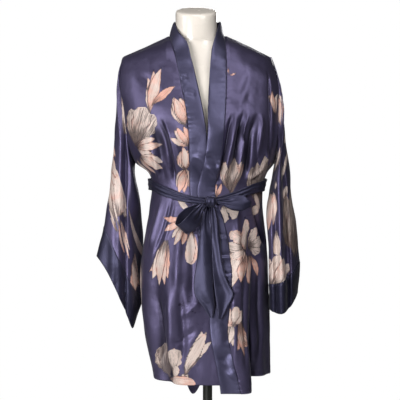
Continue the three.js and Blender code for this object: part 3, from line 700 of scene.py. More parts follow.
def cloth_piece(node, sheet, cloth, kind, prints=None):
    """The shell of a sheet, which then stands for a CAD node."""
    thickness = getattr(bpy.context.scene.gown, kind + "_thickness")
    piece = sheet_piece(node + "_cloth", sheet, thickness, satin(cloth), prints)
    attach(piece, "root")
    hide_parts(node)
    flat, area = flat_size(sheet)


def stitches(name, *lines):
    """One row of sewing stitches along each line of points and outward normals."""
    boxes = []
    for points, normals in lines:
        lengths = lengths_along(points)
        starts = np.arange(STITCH["first"], lengths[-1] - STITCH["pitch"], STITCH["pitch"])
        ends = [between(starts + way, lengths, points) for way in (0, STITCH["length"])]
        up = unit(between(starts + STITCH["length"] / 2, lengths, normals))
        side = unit(np.cross(ends[1] - ends[0], up)) * STITCH["thick"]
        heights = (up * -STITCH["sunk"], up * STITCH["thick"])
        corners = [end + height + way for end in ends for height in heights for way in (-side, side)]
        boxes.append(np.stack(corners, 1))
    boxes = np.concatenate(boxes)
    faces = (np.arange(len(boxes))[:, None, None] * 8 + BOX_FACES).reshape(-1, 4)
    piece = new_piece(name, (boxes.reshape(-1, 3) * MM).tolist(), faces.tolist(), sewing_thread())
    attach(piece, "root")


def between(places, lengths, values):
    """Points or normals of a line at the given lengths along it."""
    return np.stack([np.interp(places, lengths, values[:, k]) for k in range(3)], -1)


def row_line(sheet, row):
    """Points and outward normals along a row of a sheet."""
    return sheet.points[row], sheet.normals()[row]


def column_line(sheet, column):
    """Points and outward normals up a column of a sheet."""
    return sheet.points[:, column], sheet.normals()[:, column]


def even_levels(low, high, turn, is_wrap):
    """Levels that lie one grid step apart along the cloth."""
    samples = 900
    levels = np.linspace(low, high, samples)
    lengths = lengths_along(panel_point(np.full(samples, float(turn)), levels, 0, is_wrap))
    count = int(lengths[-1] / GRID)
    return np.interp(np.linspace(0, lengths[-1], count + 1), lengths, levels)


# ---- the printed flowers ----
FAR = 50  # depth outside every flower, and distance from every outline
PETAL_APART = 2.5  # how far apart neighbouring petals read their streaks

# How the petals of each kind of flower are made: half a petal's width as a share of its length, where along
# it is widest, how blunt its tip is (less is blunter), how ruffled its edge is, and how the outer petals
# bend: outwards above 0, round the flower like a cup below 0.
KINDS = {
    "tulip": (0.15, 0.5, 0.95, 0.07, -0.14),
    "lily": (0.13, 0.46, 1.2, 0.08, 0.2),
    "bloom": (0.27, 0.66, 0.5, 0.15, -0.1),
    "petal": (0.17, 0.62, 0.45, 0.06, 0),
    "bud": (0.5, 0.55, 0.35, 0.03, 0),
    "outline": (0.2, 0.5, 1.0, 0.03, 0.1),
}

# Flowers by the panel they are printed on, as seen from its own side: kind, x and z of the heart, heading of
# the middle petal in degrees clockwise from upright, length, number of petals, the angle over which they fan
# out, and how pink and how brown they are.
FLOWERS = {
    "front_right": (
        ("lily", -150, 986, 9, 122, 4, 22, 0.35, 0.1),
        ("lily", -143, 1008, 48, 84, 1, 0, 0.9, 0.1),
        ("tulip", -56, 952, 340, 84, 5, 26, 0.45, 0.2),
        ("tulip", -47, 902, 318, 58, 4, 40, 0.5, 0.2),
        ("tulip", -55, 838, 350, 58, 4, 34, 0.6, 0.05),
        ("tulip", -58, 848, 186, 66, 4, 40, 0.5, 0.1),
        ("bloom", -192, 906, 16, 100, 5, 40, 0.2, 0.55),
        ("tulip", -192, 900, 92, 72, 3, 40, 0.3, 0.3),
        ("tulip", -186, 880, 128, 86, 4, 38, 0.4, 0.2),
        ("petal", -80, 775, 140, 48, 1, 0, 0, 0.05),
        ("lily", -56, 716, 240, 70, 3, 66, 0.55, 0.2),
        ("tulip", -60, 702, 204, 58, 3, 44, 0.45, 0.3),
        ("petal", -42, 690, 184, 104, 2, 8, 0.45, 0.08),
        ("lily", -104, 664, 192, 124, 5, 36, 0.4, 0.2),
        ("tulip", -160, 755, 188, 50, 2, 20, 0.1, 0.4),
        ("bud", -164, 690, 180, 20, 1, 0, 0, 0.5),
        ("tulip", -166, 672, 190, 55, 2, 16, 0.1, 0.4),
        ("petal", -176, 604, 178, 120, 1, 0, 0.2, 0.4),
        ("outline", -72, 500, 100, 76, 3, 70, 0, 0),
        ("bloom", -92, 314, 346, 90, 3, 30, 0.15, 0.6),
        ("bloom", -88, 300, 42, 48, 2, 50, 0.2, 0.4),
        ("petal", -120, 303, 95, 88, 1, 0, 0.4, 0.1),
        ("lily", -46, 322, 16, 112, 4, 30, 0.3, 0.12),
    ),
    "front_left": (
        ("tulip", 56, 1086, 35, 22, 2, 75, 1, 0),
        ("lily", 178, 985, 348, 70, 3, 26, 0.4, 0.1),
        ("tulip", 20, 768, 14, 46, 2, 24, 0.9, 0.3),
        ("tulip", 56, 784, 10, 90, 5, 34, 0.25, 0.6),
        ("tulip", 132, 752, 3, 126, 4, 22, 0.1, 0.9),
        ("petal", 112, 792, 148, 56, 1, 0, 0.05, 0),
        ("bloom", 44, 756, 140, 56, 3, 80, 0.1, 0.05),
        ("bud", 108, 730, 60, 26, 1, 0, 0.1, 0.25),
        ("outline", 92, 720, 95, 34, 1, 0, 0, 0),
        ("tulip", 80, 648, 187, 104, 3, 26, 0.3, 0.2),
        ("tulip", 98, 622, 168, 74, 3, 44, 0.5, 0.4),
        ("bloom", 98, 648, 352, 54, 7, 250, 0.2, 0.45),
        ("lily", 60, 462, 186, 80, 2, 22, 0.1, 0.3),
        ("lily", 78, 468, 170, 104, 3, 22, 0.6, 0.6),
        ("bloom", 64, 448, 352, 50, 4, 90, 0.35, 0.1),
    ),
    "back": (
        ("bloom", -95, 1010, 30, 74, 6, 200, 0.3, 0.35),
        ("tulip", 60, 1020, 340, 110, 4, 50, 0.5, 0.1),
        ("tulip", -20, 905, 195, 96, 4, 36, 0.4, 0.2),
        ("bloom", 110, 900, 300, 66, 6, 170, 0.35, 0.4),
        ("petal", -140, 880, 172, 70, 1, 0, 0.4, 0.2),
        ("bud", 30, 860, 20, 24, 1, 0, 0.1, 0.3),
        ("bloom", 40, 730, 200, 62, 6, 210, 0.5, 0.25),
        ("tulip", -85, 735, 170, 118, 4, 34, 0.35, 0.3),
        ("petal", 120, 740, 186, 92, 1, 0, 0.3, 0.1),
        ("outline", -10, 610, 80, 74, 3, 80, 0, 0),
        ("bloom", -105, 520, 10, 68, 6, 240, 0.2, 0.45),
        ("tulip", 95, 590, 192, 110, 4, 40, 0.6, 0.2),
        ("tulip", -30, 420, 25, 104, 4, 44, 0.45, 0.1),
        ("bloom", 70, 360, 340, 72, 6, 150, 0.25, 0.45),
        ("petal", -130, 380, 200, 64, 1, 0, 0.5, 0.1),
        ("tulip", -40, 300, 335, 66, 3, 46, 0.3, 0.3),
    ),
    "sleeve_left": (
        ("tulip", 181, 955, 352, 86, 4, 46, 0.4, 0.08),
        ("tulip", 170, 832, 20, 76, 3, 60, 0.2, 0.1),
        ("bud", 176, 812, 190, 18, 1, 0, 0, 0.2),
        ("bud", 197, 850, 180, 18, 1, 0, 0.1, 0.1),
        ("bud", 202, 798, 184, 26, 1, 0, 0.05, 0.15),
        ("tulip", 159, 795, 176, 112, 3, 12, 0.45, 0.05),
        ("petal", 203, 778, 182, 72, 1, 0, 0.3, 0.35),
        ("petal", 172, 690, 170, 66, 1, 0, 0, 0.1),
        ("bloom", 162, 540, 22, 82, 4, 56, 0.3, 0.3),
        ("tulip", 217, 632, 0, 170, 3, 14, 0.2, 0.75),
    ),
    "sleeve_left_behind": (
        ("bloom", 195, 960, 200, 70, 5, 150, 0.35, 0.3),
        ("tulip", 200, 820, 10, 96, 4, 40, 0.4, 0.2),
        ("tulip", 205, 700, 190, 96, 4, 36, 0.3, 0.4),
        ("bloom", 200, 585, 20, 60, 5, 160, 0.3, 0.35),
    ),
    "sleeve_right": (
        ("bloom", -236, 728, 356, 96, 4, 34, 0.2, 0.45),
        ("tulip", -226, 712, 278, 44, 3, 70, 0.15, 0.55),
        ("tulip", -238, 684, 138, 58, 3, 34, 0.6, 0.1),
        ("petal", -222, 700, 140, 88, 1, 0, 0.1, 0.35),
        ("lily", -196, 612, 178, 96, 3, 20, 0.5, 0.15),
        ("tulip", -206, 938, 357, 108, 3, 14, 0.2, 0.4),
    ),
    "sleeve_right_behind": (
        ("tulip", -215, 985, 170, 100, 4, 40, 0.4, 0.2),
        ("bloom", -225, 850, 340, 72, 6, 170, 0.3, 0.4),
        ("tulip", -215, 720, 200, 90, 4, 36, 0.5, 0.2),
        ("bloom", -225, 590, 20, 60, 5, 180, 0.25, 0.4),
    ),
}


def petals_of(flowers):
    """Works out every petal of the flowers: its ends, shape and colours."""
    for number, (kind, x, z, heading, length, count, fan, pink, brown) in enumerate(flowers):
        random = np.random.default_rng(SEED * 100 + number)
        half_share, peak, blunt, ruffle, cup = KINDS[kind]
        spread = np.linspace(-0.5, 0.5, count) if count > 1 else np.zeros(1)
        order = np.argsort(-np.abs(spread), kind="stable")
        for k in order:
            turn = math.radians(heading + fan * spread[k] + random.uniform(-4, 4))
            long = length * (1 - 0.5 * spread[k] ** 2) * random.uniform(0.9, 1.04)
            reach = np.array([math.sin(turn), math.cos(turn)])
            base = np.array([x, z]) + 0.04 * long * reach
            yield {
                "base": base,
                "tip": base + long * reach,
                "bend": float(cup * spread[k] + random.uniform(-0.03, 0.03)),
                "half": long * half_share * random.uniform(0.85, 1.15),
                "peak": peak,
                "blunt": blunt,
                "ruffle": ruffle * random.uniform(0.6, 1.4),
                "pink": pink + random.uniform(-0.2, 0.25),
                "brown": brown + random.uniform(-0.15, 0.15),
                "is_outline": kind == "outline",
                "seed": random.uniform(0, 6),
            }


def petal_shape(a, b, base, tip, petal):
    """Signed depth inside a petal, share along it and share across it."""
    length = math.hypot(tip[0] - base[0], tip[1] - base[1])
    along_a, along_b = (tip[0] - base[0]) / length, (tip[1] - base[1]) / length
    da, db = a - base[0], b - base[1]
    along = (da * along_a + db * along_b) / length
    away = db * along_a - da * along_b - petal["bend"] * length * 4 * along * (1 - along)
    inside = np.clip(along, 0, 1)
    peak, seed, half, ruffle = (petal[name] for name in ("peak", "seed", "half", "ruffle"))
    stalk = 0.1  # share of the full width at the base
    rising = stalk + (1 - stalk) * np.sin(0.5 * np.pi * np.minimum(1, inside / peak)) ** 0.9
    falling = np.maximum(0, 1 - (np.maximum(0, inside - peak) / (1 - peak)) ** 2) ** petal["blunt"]
    frill = 1 + ruffle * np.sin(inside * 21 + seed) * np.sin(inside * 8 + 2 * seed + np.sign(away))
    width = half * np.where(inside < peak, rising, falling) * frill
    notch = 0.3 * ruffle * length * np.abs(np.sin(away / half * 4 + seed))
    ends = np.minimum(along * length, (1 - along) * length - notch)
    depth = np.minimum(width - np.abs(away), ends + 0.3 * half)
    return depth, along, away / half


def print_on(sheet, panel, facing=-1, prints=None):
    """The print at each point: depth in a flower, place on its petal, tint and distance to an outline."""
    shape = sheet.across.shape
    if prints is None:
        prints = {"bloom": np.zeros(shape + (3,)), "tint": np.zeros(shape + (3,))}
        prints["bloom"][..., 0] = -FAR
        prints["tint"][..., 2] = FAR
    bloom, tint = prints["bloom"], prints["tint"]
    for number, petal in enumerate(petals_of(FLOWERS[panel])):
        middle = (petal["base"] + petal["tip"]) / 2
        a, b = sheet.place(*middle, facing, sheet.print_across)
        mirror = np.array([1 if facing < 0 else -1, 1])
        base, tip = (np.array([a, b]) + mirror * (end - middle) for end in (petal["base"], petal["tip"]))
        depth, along, across = petal_shape(sheet.print_across, sheet.up, base, tip, petal)
        line = np.abs(depth)
        nearer = np.minimum(tint[..., 2], line)
        inside = (depth > 0) & (not petal["is_outline"])
        tint[..., 2] = np.where(inside, line, nearer)
        if petal["is_outline"]:
            continue
        bloom[..., 0] = np.maximum(bloom[..., 0], depth)
        bloom[..., 1] = np.where(inside, along, bloom[..., 1])
        bloom[..., 2] = np.where(inside, across + PETAL_APART * number, bloom[..., 2])
        tint[..., 0] = np.where(inside, petal["pink"], tint[..., 0])
        tint[..., 1] = np.where(inside, petal["brown"], tint[..., 1])
    return prints


# ---- materials ----
class Value:
    """A number socket of a material, so that shader maths reads as an expression."""

    def __init__(self, finish, socket):
        self.finish = finish
        self.socket = socket

    def math(self, operation, *others):
        return self.finish.math(operation, self, *others)

    def __add__(self, other):
        return self.math("ADD", other)

    __radd__ = __add__

    def __mul__(self, other):
        return self.math("MULTIPLY", other)

    __rmul__ = __mul__

    def __sub__(self, other):
        return self.math("SUBTRACT", other)

    def __rsub__(self, other):
        return self.finish.math("SUBTRACT", other, self)


class Finish:
    """A material, and short ways to add nodes to it."""

    def __init__(self, name, **constants):
        self.material = bpy.data.materials.new(name)
        self.material.use_nodes = True
        self.tree = self.material.node_tree
        self.tree.nodes.clear()
        self.shader = self.tree.nodes.new("ShaderNodeBsdfPrincipled")
        output = self.tree.nodes.new("ShaderNodeOutputMaterial")
        self.tree.links.new(self.shader.outputs[0], output.inputs["Surface"])
        for socket, value in constants.items():
            self.shader.inputs[socket.replace("_", " ")].default_value = value

    def node(self, kind, settings=None, sockets=None, out=0):
        node = self.tree.nodes.new("ShaderNode" + kind)
        for name, value in (settings or {}).items():
            setattr(node, name, value)
        for name, value in (sockets or {}).items():
            if isinstance(value, Value):
                self.tree.links.new(value.socket, node.inputs[name])
            else:
                node.inputs[name].default_value = value
        return Value(self, node.outputs[out])

    def math(self, operation, *values):
        return self.node("Math", {"operation": operation}, dict(enumerate(values)))

    def step(self, value, start, end):
        """0 below start and 1 above end, with a soft step between them."""
        return self.node(
            "MapRange",
            {"interpolation_type": "SMOOTHSTEP"},
            {"Value": value, "From Min": start, "From Max": end},
        )

    def blend(self, a, b, share):
        """Between two colours, each a hex colour, three numbers or a link."""
        sockets = {0: share, 6: socket_colour(a), 7: socket_colour(b)}
        return self.node("Mix", {"data_type": "RGBA"}, sockets, out=2)

    def noise(self, place, scale, detail=2.0, roughness=0.5):
        sockets = {"Vector": place, "Scale": scale, "Detail": detail, "Roughness": roughness}
        return self.node("TexNoise", None, sockets)

    def place(self):
        """Where a point lies on its object."""
        return self.node("TexCoord", None, None, out=3)

    def attribute(self, name):
        parts = self.node("SeparateXYZ", None, {0: self.node("Attribute", {"attribute_name": name}, out=1)})
        outputs = parts.socket.node.outputs
        return [Value(self, outputs[k]) for k in range(3)]

    def set(self, socket, value):
        self.tree.links.new(value.socket, self.shader.inputs[socket])

    def set_bump(self, strength, height):
        sockets = {"Strength": strength, "Distance": 1.0, "Height": height}
        self.set("Normal", self.node("Bump", None, sockets))


def linear(hex_colour):
    """A colour as it is seen on a screen, as the shader's numbers."""
    shares = [int(hex_colour[k : k + 2], 16) / 255 for k in (0, 2, 4)]
    return tuple(c / 12.92 if c <= 0.04045 else ((c + 0.055) / 1.055) ** 2.4 for c in shares)


def socket_colour(colour):
    """A hex colour or three numbers as a socket takes them; a link stays as it is."""
    colour = linear(colour) if isinstance(colour, str) else colour
    return (*colour, 1) if isinstance(colour, tuple) else colour


def made_once(make):
    """Wraps a function that makes a finish, so that pieces share the material of its first run."""

    def share(*arguments):
        name = "_".join([*arguments, make.__name__]).capitalize()
        return bpy.data.materials.get(name) or make(name, *arguments)

    return share


def times(colour, factor):
    """A colour made darker or lighter."""
    return tuple(channel * factor for channel in colour)


INKS = {
    "petal": "d8c6bd",
    "blush": "dca594",
    "light": "e9dcd5",
    "streak": "aa776a",
    "shade": "4b3a36",
    "vein": "33282f",
    "edge": "32272f",
    "drawing": "221b2e",
    # Painted shade laid over the petals in the cloth's troughs, not an ink of the print.
    "in a fold": "4a3f44",
}
# Painted shade: the cloth's colour is darkened in the troughs of creases and long folds, where shade falls.
FOLD_PAINTED_SHADE = (-1.5, -11.0)  # the heights of a crease at which the cloth begins to darken and is darkest


def flowers_over(finish, base, place, trough):
    """Lays the flowers over the ground, from the attributes of the cloth, and says where they lie."""
    depth, along, across = finish.attribute("bloom")
    pink, brown, outline = finish.attribute("tint")
    streaks = finish.node("CombineXYZ", None, {0: across * 5.5, 1: along * 1.3, 2: across * 0.6})
    fine = finish.noise(streaks, 1.6, 3.0, 0.6)
    wash = finish.noise(place, 42.0)
    heart = 1 - finish.step(along, 0.0, 0.55)
    rim = 1 - finish.step(outline, 0.5, 6.0)
    blush = finish.step(pink + (wash - 0.5) * 1.2 + rim * 0.3, 0.3, 1.0)
    petal = finish.blend(INKS["petal"], INKS["blush"], blush)
    petal = finish.blend(petal, INKS["light"], finish.step(fine, 0.52, 0.75) * 0.55)
    petal = finish.blend(petal, INKS["streak"], finish.step(fine, 0.5, 0.3) * (0.2 + pink * 0.4))
    shaded = finish.step(brown + heart * 0.7 + (fine - 0.5) * 2.1, 0.4, 0.95)
    petal = finish.blend(petal, INKS["shade"], shaded * 0.85)
    from_vein = finish.math("ABSOLUTE", finish.noise(streaks, 2.6, 1.0) - 0.5)
    veins = 1 - finish.step(from_vein, 0.006, 0.045)
    petal = finish.blend(petal, INKS["vein"], veins * (heart * 0.5 + brown * 0.5 + 0.2))
    edge = 1 - finish.step(outline, 0.4, 1.9)
    petal = finish.blend(petal, INKS["edge"], edge * 0.9)
    inside = finish.step(depth + (wash - 0.5) * 2.2, -0.3, 0.5)
    drawing = (1 - finish.step(outline, 0.3, 1.2)) * (1 - inside)
    base = finish.blend(base, INKS["drawing"], drawing * 0.8)
    # Painted shade: petals in the troughs of creases and folds are darkened like the ground.
    petal = finish.blend(petal, INKS["in a fold"], trough * 0.6)
    return finish.blend(base, petal, inside), inside


@made_once
def satin(name, cloth):
    """Woven satin that shines in its own colour, with clouds, a weave and small crumples; on the printed
    cloth, painted shade darkens the troughs of its creases and folds.
    """
    settings = bpy.context.scene.gown
    colour = tuple(getattr(settings, cloth))
    finish = Finish(name, Anisotropic=settings.grain, Sheen_Weight=0.08, Sheen_Roughness=0.4)
    threads_place = finish.node("UVMap", {"uv_map": "Cloth"})
    place = finish.place()
    threads = finish.node("Mapping", None, {"Vector": threads_place, "Scale": (260.0, 2600.0, 1.0)})
    weave = finish.noise(threads, 1.0)
    base = finish.blend(times(colour, 0.72), times(colour, 1.28), finish.noise(place, 9.0, 3.0))
    base = finish.blend(base, times(colour, 1.35), finish.step(weave, 0.55, 0.8) * 0.35)
    rough = finish.noise(place, 26.0) * 0.1 + (settings.roughness - 0.05)
    if cloth == "printed":
        # Painted shade: the ground darkens towards a fifth of its colour in the troughs of creases and long
        # folds.
        trough = finish.step(finish.attribute("folds")[0], *FOLD_PAINTED_SHADE)
        base = finish.blend(base, times(colour, 0.2), trough * 0.75)
        base, inside = flowers_over(finish, base, place, trough)
        rough = rough + inside * 0.06
        finish.set("Metallic", settings.metal - inside * (settings.metal - 0.12))
    else:
        finish.shader.inputs["Metallic"].default_value = settings.metal
    finish.set("Base Color", base)
    finish.set("Roughness", rough)
    crumple = finish.noise(place, 70.0, 3.0, 0.55)
    finish.set_bump(0.55, crumple * 0.001 + weave * 0.00012 + finish.noise(place, 18.0) * 0.004)
    return finish.material


@made_once
def glossy_form(name):
    """Smooth cast gloss with faint clouds and specks."""
    finish = Finish(name, Coat_Weight=0.35, Coat_Roughness=0.12)
    place = finish.place()
    cloudy = finish.noise(place, 5.0)
    specks = finish.step(finish.noise(place, 420.0), 0.68, 0.8)
    colour = finish.blend("eee6dd", "e8dfd3", cloudy)
    finish.set("Base Color", finish.blend(colour, "cfc4b4", specks * 0.3))
    finish.set("Roughness", finish.noise(place, 30.0) * 0.12 + 0.2)
    finish.set_bump(0.3, finish.noise(place, 160.0) * 0.0003 + cloudy * 0.004)
    return finish.material


@made_once
def black_metal(name):
    """Painted steel with fine grains and a little wear."""
    finish = Finish(name, Metallic=0.25, Coat_Weight=0.2, Coat_Roughness=0.3)
    place = finish.place()
    grains = finish.noise(place, 900.0)
    wear = finish.step(finish.noise(place, 22.0, 4.0, 0.65), 0.62, 0.75)
    finish.set("Base Color", finish.blend("1b1d16", "3a3a34", wear * 0.5))
    finish.set("Roughness", grains * 0.2 + wear * 0.15 + 0.32)
    finish.set_bump(0.4, grains * 0.00012)
    return finish.material


@made_once
def sewing_thread(name):
    """Matt thread with fine strands."""
    finish = Finish(name, Sheen_Weight=0.2)
    strands = finish.noise(finish.place(), 1400.0)
    finish.set("Base Color", finish.blend("2d2940", "4a4560", strands))
    finish.set("Roughness", strands * 0.2 + 0.5)
    finish.set_bump(0.3, strands * 0.0001)
    return finish.material


# ---- the gown's pieces ----
# Painted shade: long folds count towards the darkening painted into the cloth's troughs.
LONG_FOLD_PAINTED_SHADE = 0.6  # how much a long fold darkens the cloth, beside a crease of the same height


def away_from_middle(points):
    """Roughly outwards for every point of the body and the sash."""
    return vector(points[..., 0] + 10, points[..., 1], 0)


def body_sheet(edge_low, edge_high, lift, is_wrap, middle, columns, side, turn):
    """The cloth between two edges, each a turn by level. Its rows lie evenly along the given turn."""
    levels = even_levels(LOW_LEVEL, SHOULDER_TIP, turn, is_wrap)
    share = np.linspace(0, 1, columns + 1)[None, :]
    level = np.broadcast_to(levels[:, None], (len(levels), columns + 1))
    turns = mix(edge_low(levels)[:, None], edge_high(levels)[:, None], share)
    points = panel_point(turns, level, lift(turns, level), is_wrap)
    sheet = Sheet(points, away_from_middle, side=side, middle=crossing(middle))
    sheet.level = level
    sheet.turn = turns
    sheet.settle()
    return sheet


def seam_puckers(sheet, from_seam, name):
    """Short ripples that run away from a sewn seam, from the distance to it."""
    random = np.random.default_rng(SEED + SEAM_SEEDS[name])
    phase = sheet.level / 2.0 + 2.2 * np.sin(sheet.level / 23 + random.uniform(0, 6))
    strength = 0.5 + 0.5 * np.sin(sheet.level / 41 + random.uniform(0, 6))
    return strength * np.sin(phase) * np.exp(-from_seam / PUCKER_REACH)


def make_panel(name, sheet, facing):
    """Presses the creases into a panel of the body, prints it, makes it and sews its hem."""
    height = creases(sheet, CREASES[name], facing) + uneven(sheet, "panel")
    sheet.press(height)
    prints = print_on(sheet, name, facing)
    # Crease and long-fold heights, kept on the cloth so that its material paints shade into the troughs.
    long_folds = fold_height(sheet.turn, sheet.level)
    prints["folds"] = vector(height + LONG_FOLD_PAINTED_SHADE * long_folds, 0, 0)
    cloth_piece(name, sheet, "printed", "panel", prints)
    stitches(name + "_hem_stitches", row_line(sheet, HEM_ROW))


def make_back():
    sheet = body_sheet(
        lambda level: 180 + armhole_turn(level),
        lambda level: 360 - armhole_turn(level),
        no_lift,
        is_wrap=False,
        middle=-25,
        columns=160,
        side=1,
        turn=270,
    )
    make_panel("back", sheet, 1)


def band_seam(name):
    """The turn by level at which the neckband is sewn to a front."""
    return lambda level: front_turn(FRONT_EDGES(name + "_seam", level), level)


def make_fronts():
    right = body_sheet(
        band_seam("right"),
        lambda level: 180 - armhole_turn(level),
        no_lift,
        is_wrap=False,
        middle=-100,
        columns=90,
        side=-1,
        turn=130,
    )
    left = body_sheet(
        armhole_turn,
        band_seam("left"),
        wrap_lift,
        is_wrap=True,
        middle=90,
        columns=100,
        side=-1,
        turn=50,
    )
    for name, sheet, seam_column in (("right", right, 0), ("left", left, -1)):
        from_seam = np.abs(sheet.across - sheet.across[:, [seam_column]])
        sheet.press(seam_puckers(sheet, from_seam, name))
        make_panel("front_" + name, sheet, -1)


def neckband_surface(name):
    """One half of the neckband as two surfaces: up the front by level, and on round the neck by turn."""
    side = -OUTSIDE[name]
    is_wrap = name == "left"
    lift = wrap_lift if is_wrap else no_lift

    def on_body(x, level):
        turn = front_turn(x, level)
        return panel_point(turn, level, lift(turn, level), is_wrap)

    def before_neck(u, level):
        u, level = np.broadcast_arrays(u, level)
        seam_x = FRONT_EDGES(name + "_seam", level) - side * SEAM_ALLOWANCE
        free_x = FRONT_EDGES(name + "_free", level)
        flat = on_body(mix(seam_x, free_x, u), level)
        edge = vector(free_x, STANDING_EDGE("y", level), STANDING_EDGE("z", level))
        free = lerp(on_body(free_x, level), edge, smooth(level, *STANDING["free"]))
        return lerp(flat, lerp(on_body(seam_x, level), free, u), smooth(level, *STANDING["band"]))

    def behind_neck(u, turn):
        cosine, sine = np.cos(np.radians(turn)), np.sin(np.radians(turn))
        back = NECKBAND_BACK
        seam_height = back["seam"] - NECK["drop"] * sine
        seam = vector(-side * NECK["half"] * cosine, NECK["back"] * sine, seam_height)
        depth = mix(STANDING_EDGE("y", SHOULDER_TIP), back["depth"], sine)
        height = mix(STANDING_EDGE("z", SHOULDER_TIP), back["height"], sine)
        point = lerp(seam, vector(-side * back["half"] * cosine, depth, height), u)
        point[..., 0] += NECK["x"]
        return point

    return before_neck, behind_neck


def away_from_neck(points):
    """Roughly outwards for every point of the neckband."""
    return (points - np.array([NECK["x"], 0, 0])) * [1, 1, 0]


def make_neckband(name):
    side = -OUTSIDE[name]
    before_neck, behind_neck = neckband_surface(name)
    levels = even_levels(LOW_LEVEL, SHOULDER_TIP, 90 + 10 * side, name == "left")
    u = np.linspace(0, 1, NECKBAND_GRID["columns"])[None, :]
    turns = np.linspace(0, 90, NECKBAND_GRID["turns"])[1:, None]
    points = np.concatenate([before_neck(u, levels[:, None]), behind_neck(u, turns)], axis=0)
    join = len(levels) - 1
    reach = NECKBAND_GRID["smoothed"]
    for _ in range(NECKBAND_GRID["rounds"]):
        rows = points[join - reach : join + reach]
        points[join - reach + 1 : join + reach - 1] = (rows[:-2] + 2 * rows[1:-1] + rows[2:]) / 4
    sheet = Sheet(points, away_from_neck, side=side)
    sheet.level = np.concatenate([levels, SHOULDER_TIP + turns[:, 0] * 1.3])[:, None] + 0 * u
    sheet.settle()
    from_seam = np.abs(sheet.across - sheet.across[:, :1])
    from_free = np.abs(sheet.across - sheet.across[:, -1:])
    rounded = 1.6 * (1 - np.exp(-from_free / 3)) * (1 - 0.7 * np.exp(-from_seam / 4))
    height = seam_puckers(sheet, from_seam, name) + rounded + creases(sheet, CREASES["neckband_" + name])
    sheet.press(height + uneven(sheet, "neckband"))
    cloth_piece("neckband_" + name, sheet, "plain", "neckband")
    stitches("neckband_" + name + "_stitches", column_line(sheet, 1))


def armhole(name, turn):
    """The line where a sleeve is sewn in, by the turn round the sleeve from its overarm fold."""
    is_front = turn <= 180
    last = len(ARMHOLE_ROWS) - 1
    step = np.where(is_front, turn, 360 - turn) / 180 * last
    row = np.interp(step, np.arange(last + 1), ARMHOLE_ROWS)
    level = np.interp(row, np.arange(len(TOP_LEVELS)), TOP_LEVELS)
    away = armhole_turn(level) * np.where(is_front, 1, -1)
    if name == "left":
        return panel_point(away, level, np.where(is_front, wrap_lift(away, level), 0), False)
    return panel_point(180 - away, level, np.zeros(turn.shape), False)


def sleeve_point(name, turn, at):
    """A sleeve by the turn round it, from its overarm fold over the front, and by share of its length."""
    table = SLEEVES[name]
    cosine, sine = np.cos(np.radians(turn)), np.sin(np.radians(turn))
    over = (1 + cosine) / 2
    at_mid_length = smooth(at, 0.1, 0.45) * (1 - smooth(at, 0.7, 1))
    widened = np.where(np.sign(sine) == WIDE_HALF[name], at_mid_length, 0)
    x = mix(table("under_x", at), table("over_x", at), over ** mix(1, 0.62, widened))
    x = x + OUTSIDE[name] * table("full", at) * sine**2
    dropped = np.where(sine > 0, 1, BACK_DROP[name])
    z = mix(table("under_z", at), table("over_z", at), over) - table("drop", at) * dropped * sine**2
    lag = (1 - over) ** np.where(sine > 0, FRONT_LAG[name], 1)
    bulge = power(sine, np.where(sine > 0, FRONT_ROUND[name], BACK_ROUND))
    y = lag * table("back", at) - table("depth", at) * bulge
    for side, top_x, end_x, width, height, start, full in SLEEVE_FOLDS[name]:
        middle = mix(top_x, end_x, smooth(z, SHOULDER_TIP, CUFF_LEVEL))
        started = 1 - smooth(z, full, start)
        near = np.exp(-(((x - middle) / width) ** 2))
        y = y - np.where(np.sign(sine) == side, side * height * near * started * np.abs(sine) ** 0.7, 0)
    return vector(x, y, z)


def sleeve_sheet(name, low, high, lift):
    """Rings of a sleeve from the cuff's side up, each from the underarm over the back to the front."""
    columns = 124
    turn = (180 + 360 * np.linspace(0, 1, columns + 1)) % 360
    rows = int((high - low) * SLEEVE_LENGTH / GRID)
    at = np.linspace(high, low, rows + 1)[:, None]
    turn, at = np.broadcast_arrays(turn[None, :], at)

    def surface(u, v):
        return sleeve_point(name, u, v)

    def away_from_arm(points):
        return (points - centre) * [1, 1, 0.2]

    def front_middle(row, lengths):
        half = len(row) // 2
        return crossing(SLEEVE_MIDDLE[name])(row[half:], lengths[half:])

    outwards = normal_of(surface, turn, np.maximum(0.012, at), 2, 0.01) * OUTSIDE[name]
    points = surface(turn, at) + outwards * lift
    points = lerp(armhole(name, turn), points, smooth(at, 0, 0.2))
    centre = points.mean(axis=1, keepdims=True)
    side = -OUTSIDE[name]
    sheet = Sheet(points, away_from_arm, closed=True, side=side, middle=front_middle, flattened=0.7)
    sheet.at = at
    sheet.settle()
    return sheet


def make_sleeve(name):
    sheet = sleeve_sheet(name, 0, CUFF_START + CUFF_SEAM["under"], 0)
    loose = smooth(sheet.at, 0.0, 0.12)
    sheet.press(uneven(sheet, "sleeve") * mix(0.4, 1, loose))
    prints = print_on(sheet, "sleeve_" + name, -1)
    prints = print_on(sheet, "sleeve_" + name + "_behind", 1, prints)
    cloth_piece("sleeve_" + name, sheet, "printed", "panel", prints)


def make_cuff(name):
    sheet = sleeve_sheet(name, CUFF_START - CUFF_SEAM["over"], 1, CUFF_SEAM["lift"])
    along = (sheet.at - CUFF_START) / (1 - CUFF_START)
    sheet.press(uneven(sheet, "sleeve") + CUFF_SEAM["step"] * smooth(along, -0.02, 0.05))
    cloth_piece("cuff_" + name, sheet, "sash", "cuff")
    stitches("cuff_" + name + "_stitches", row_line(sheet, CUFF_ROW))


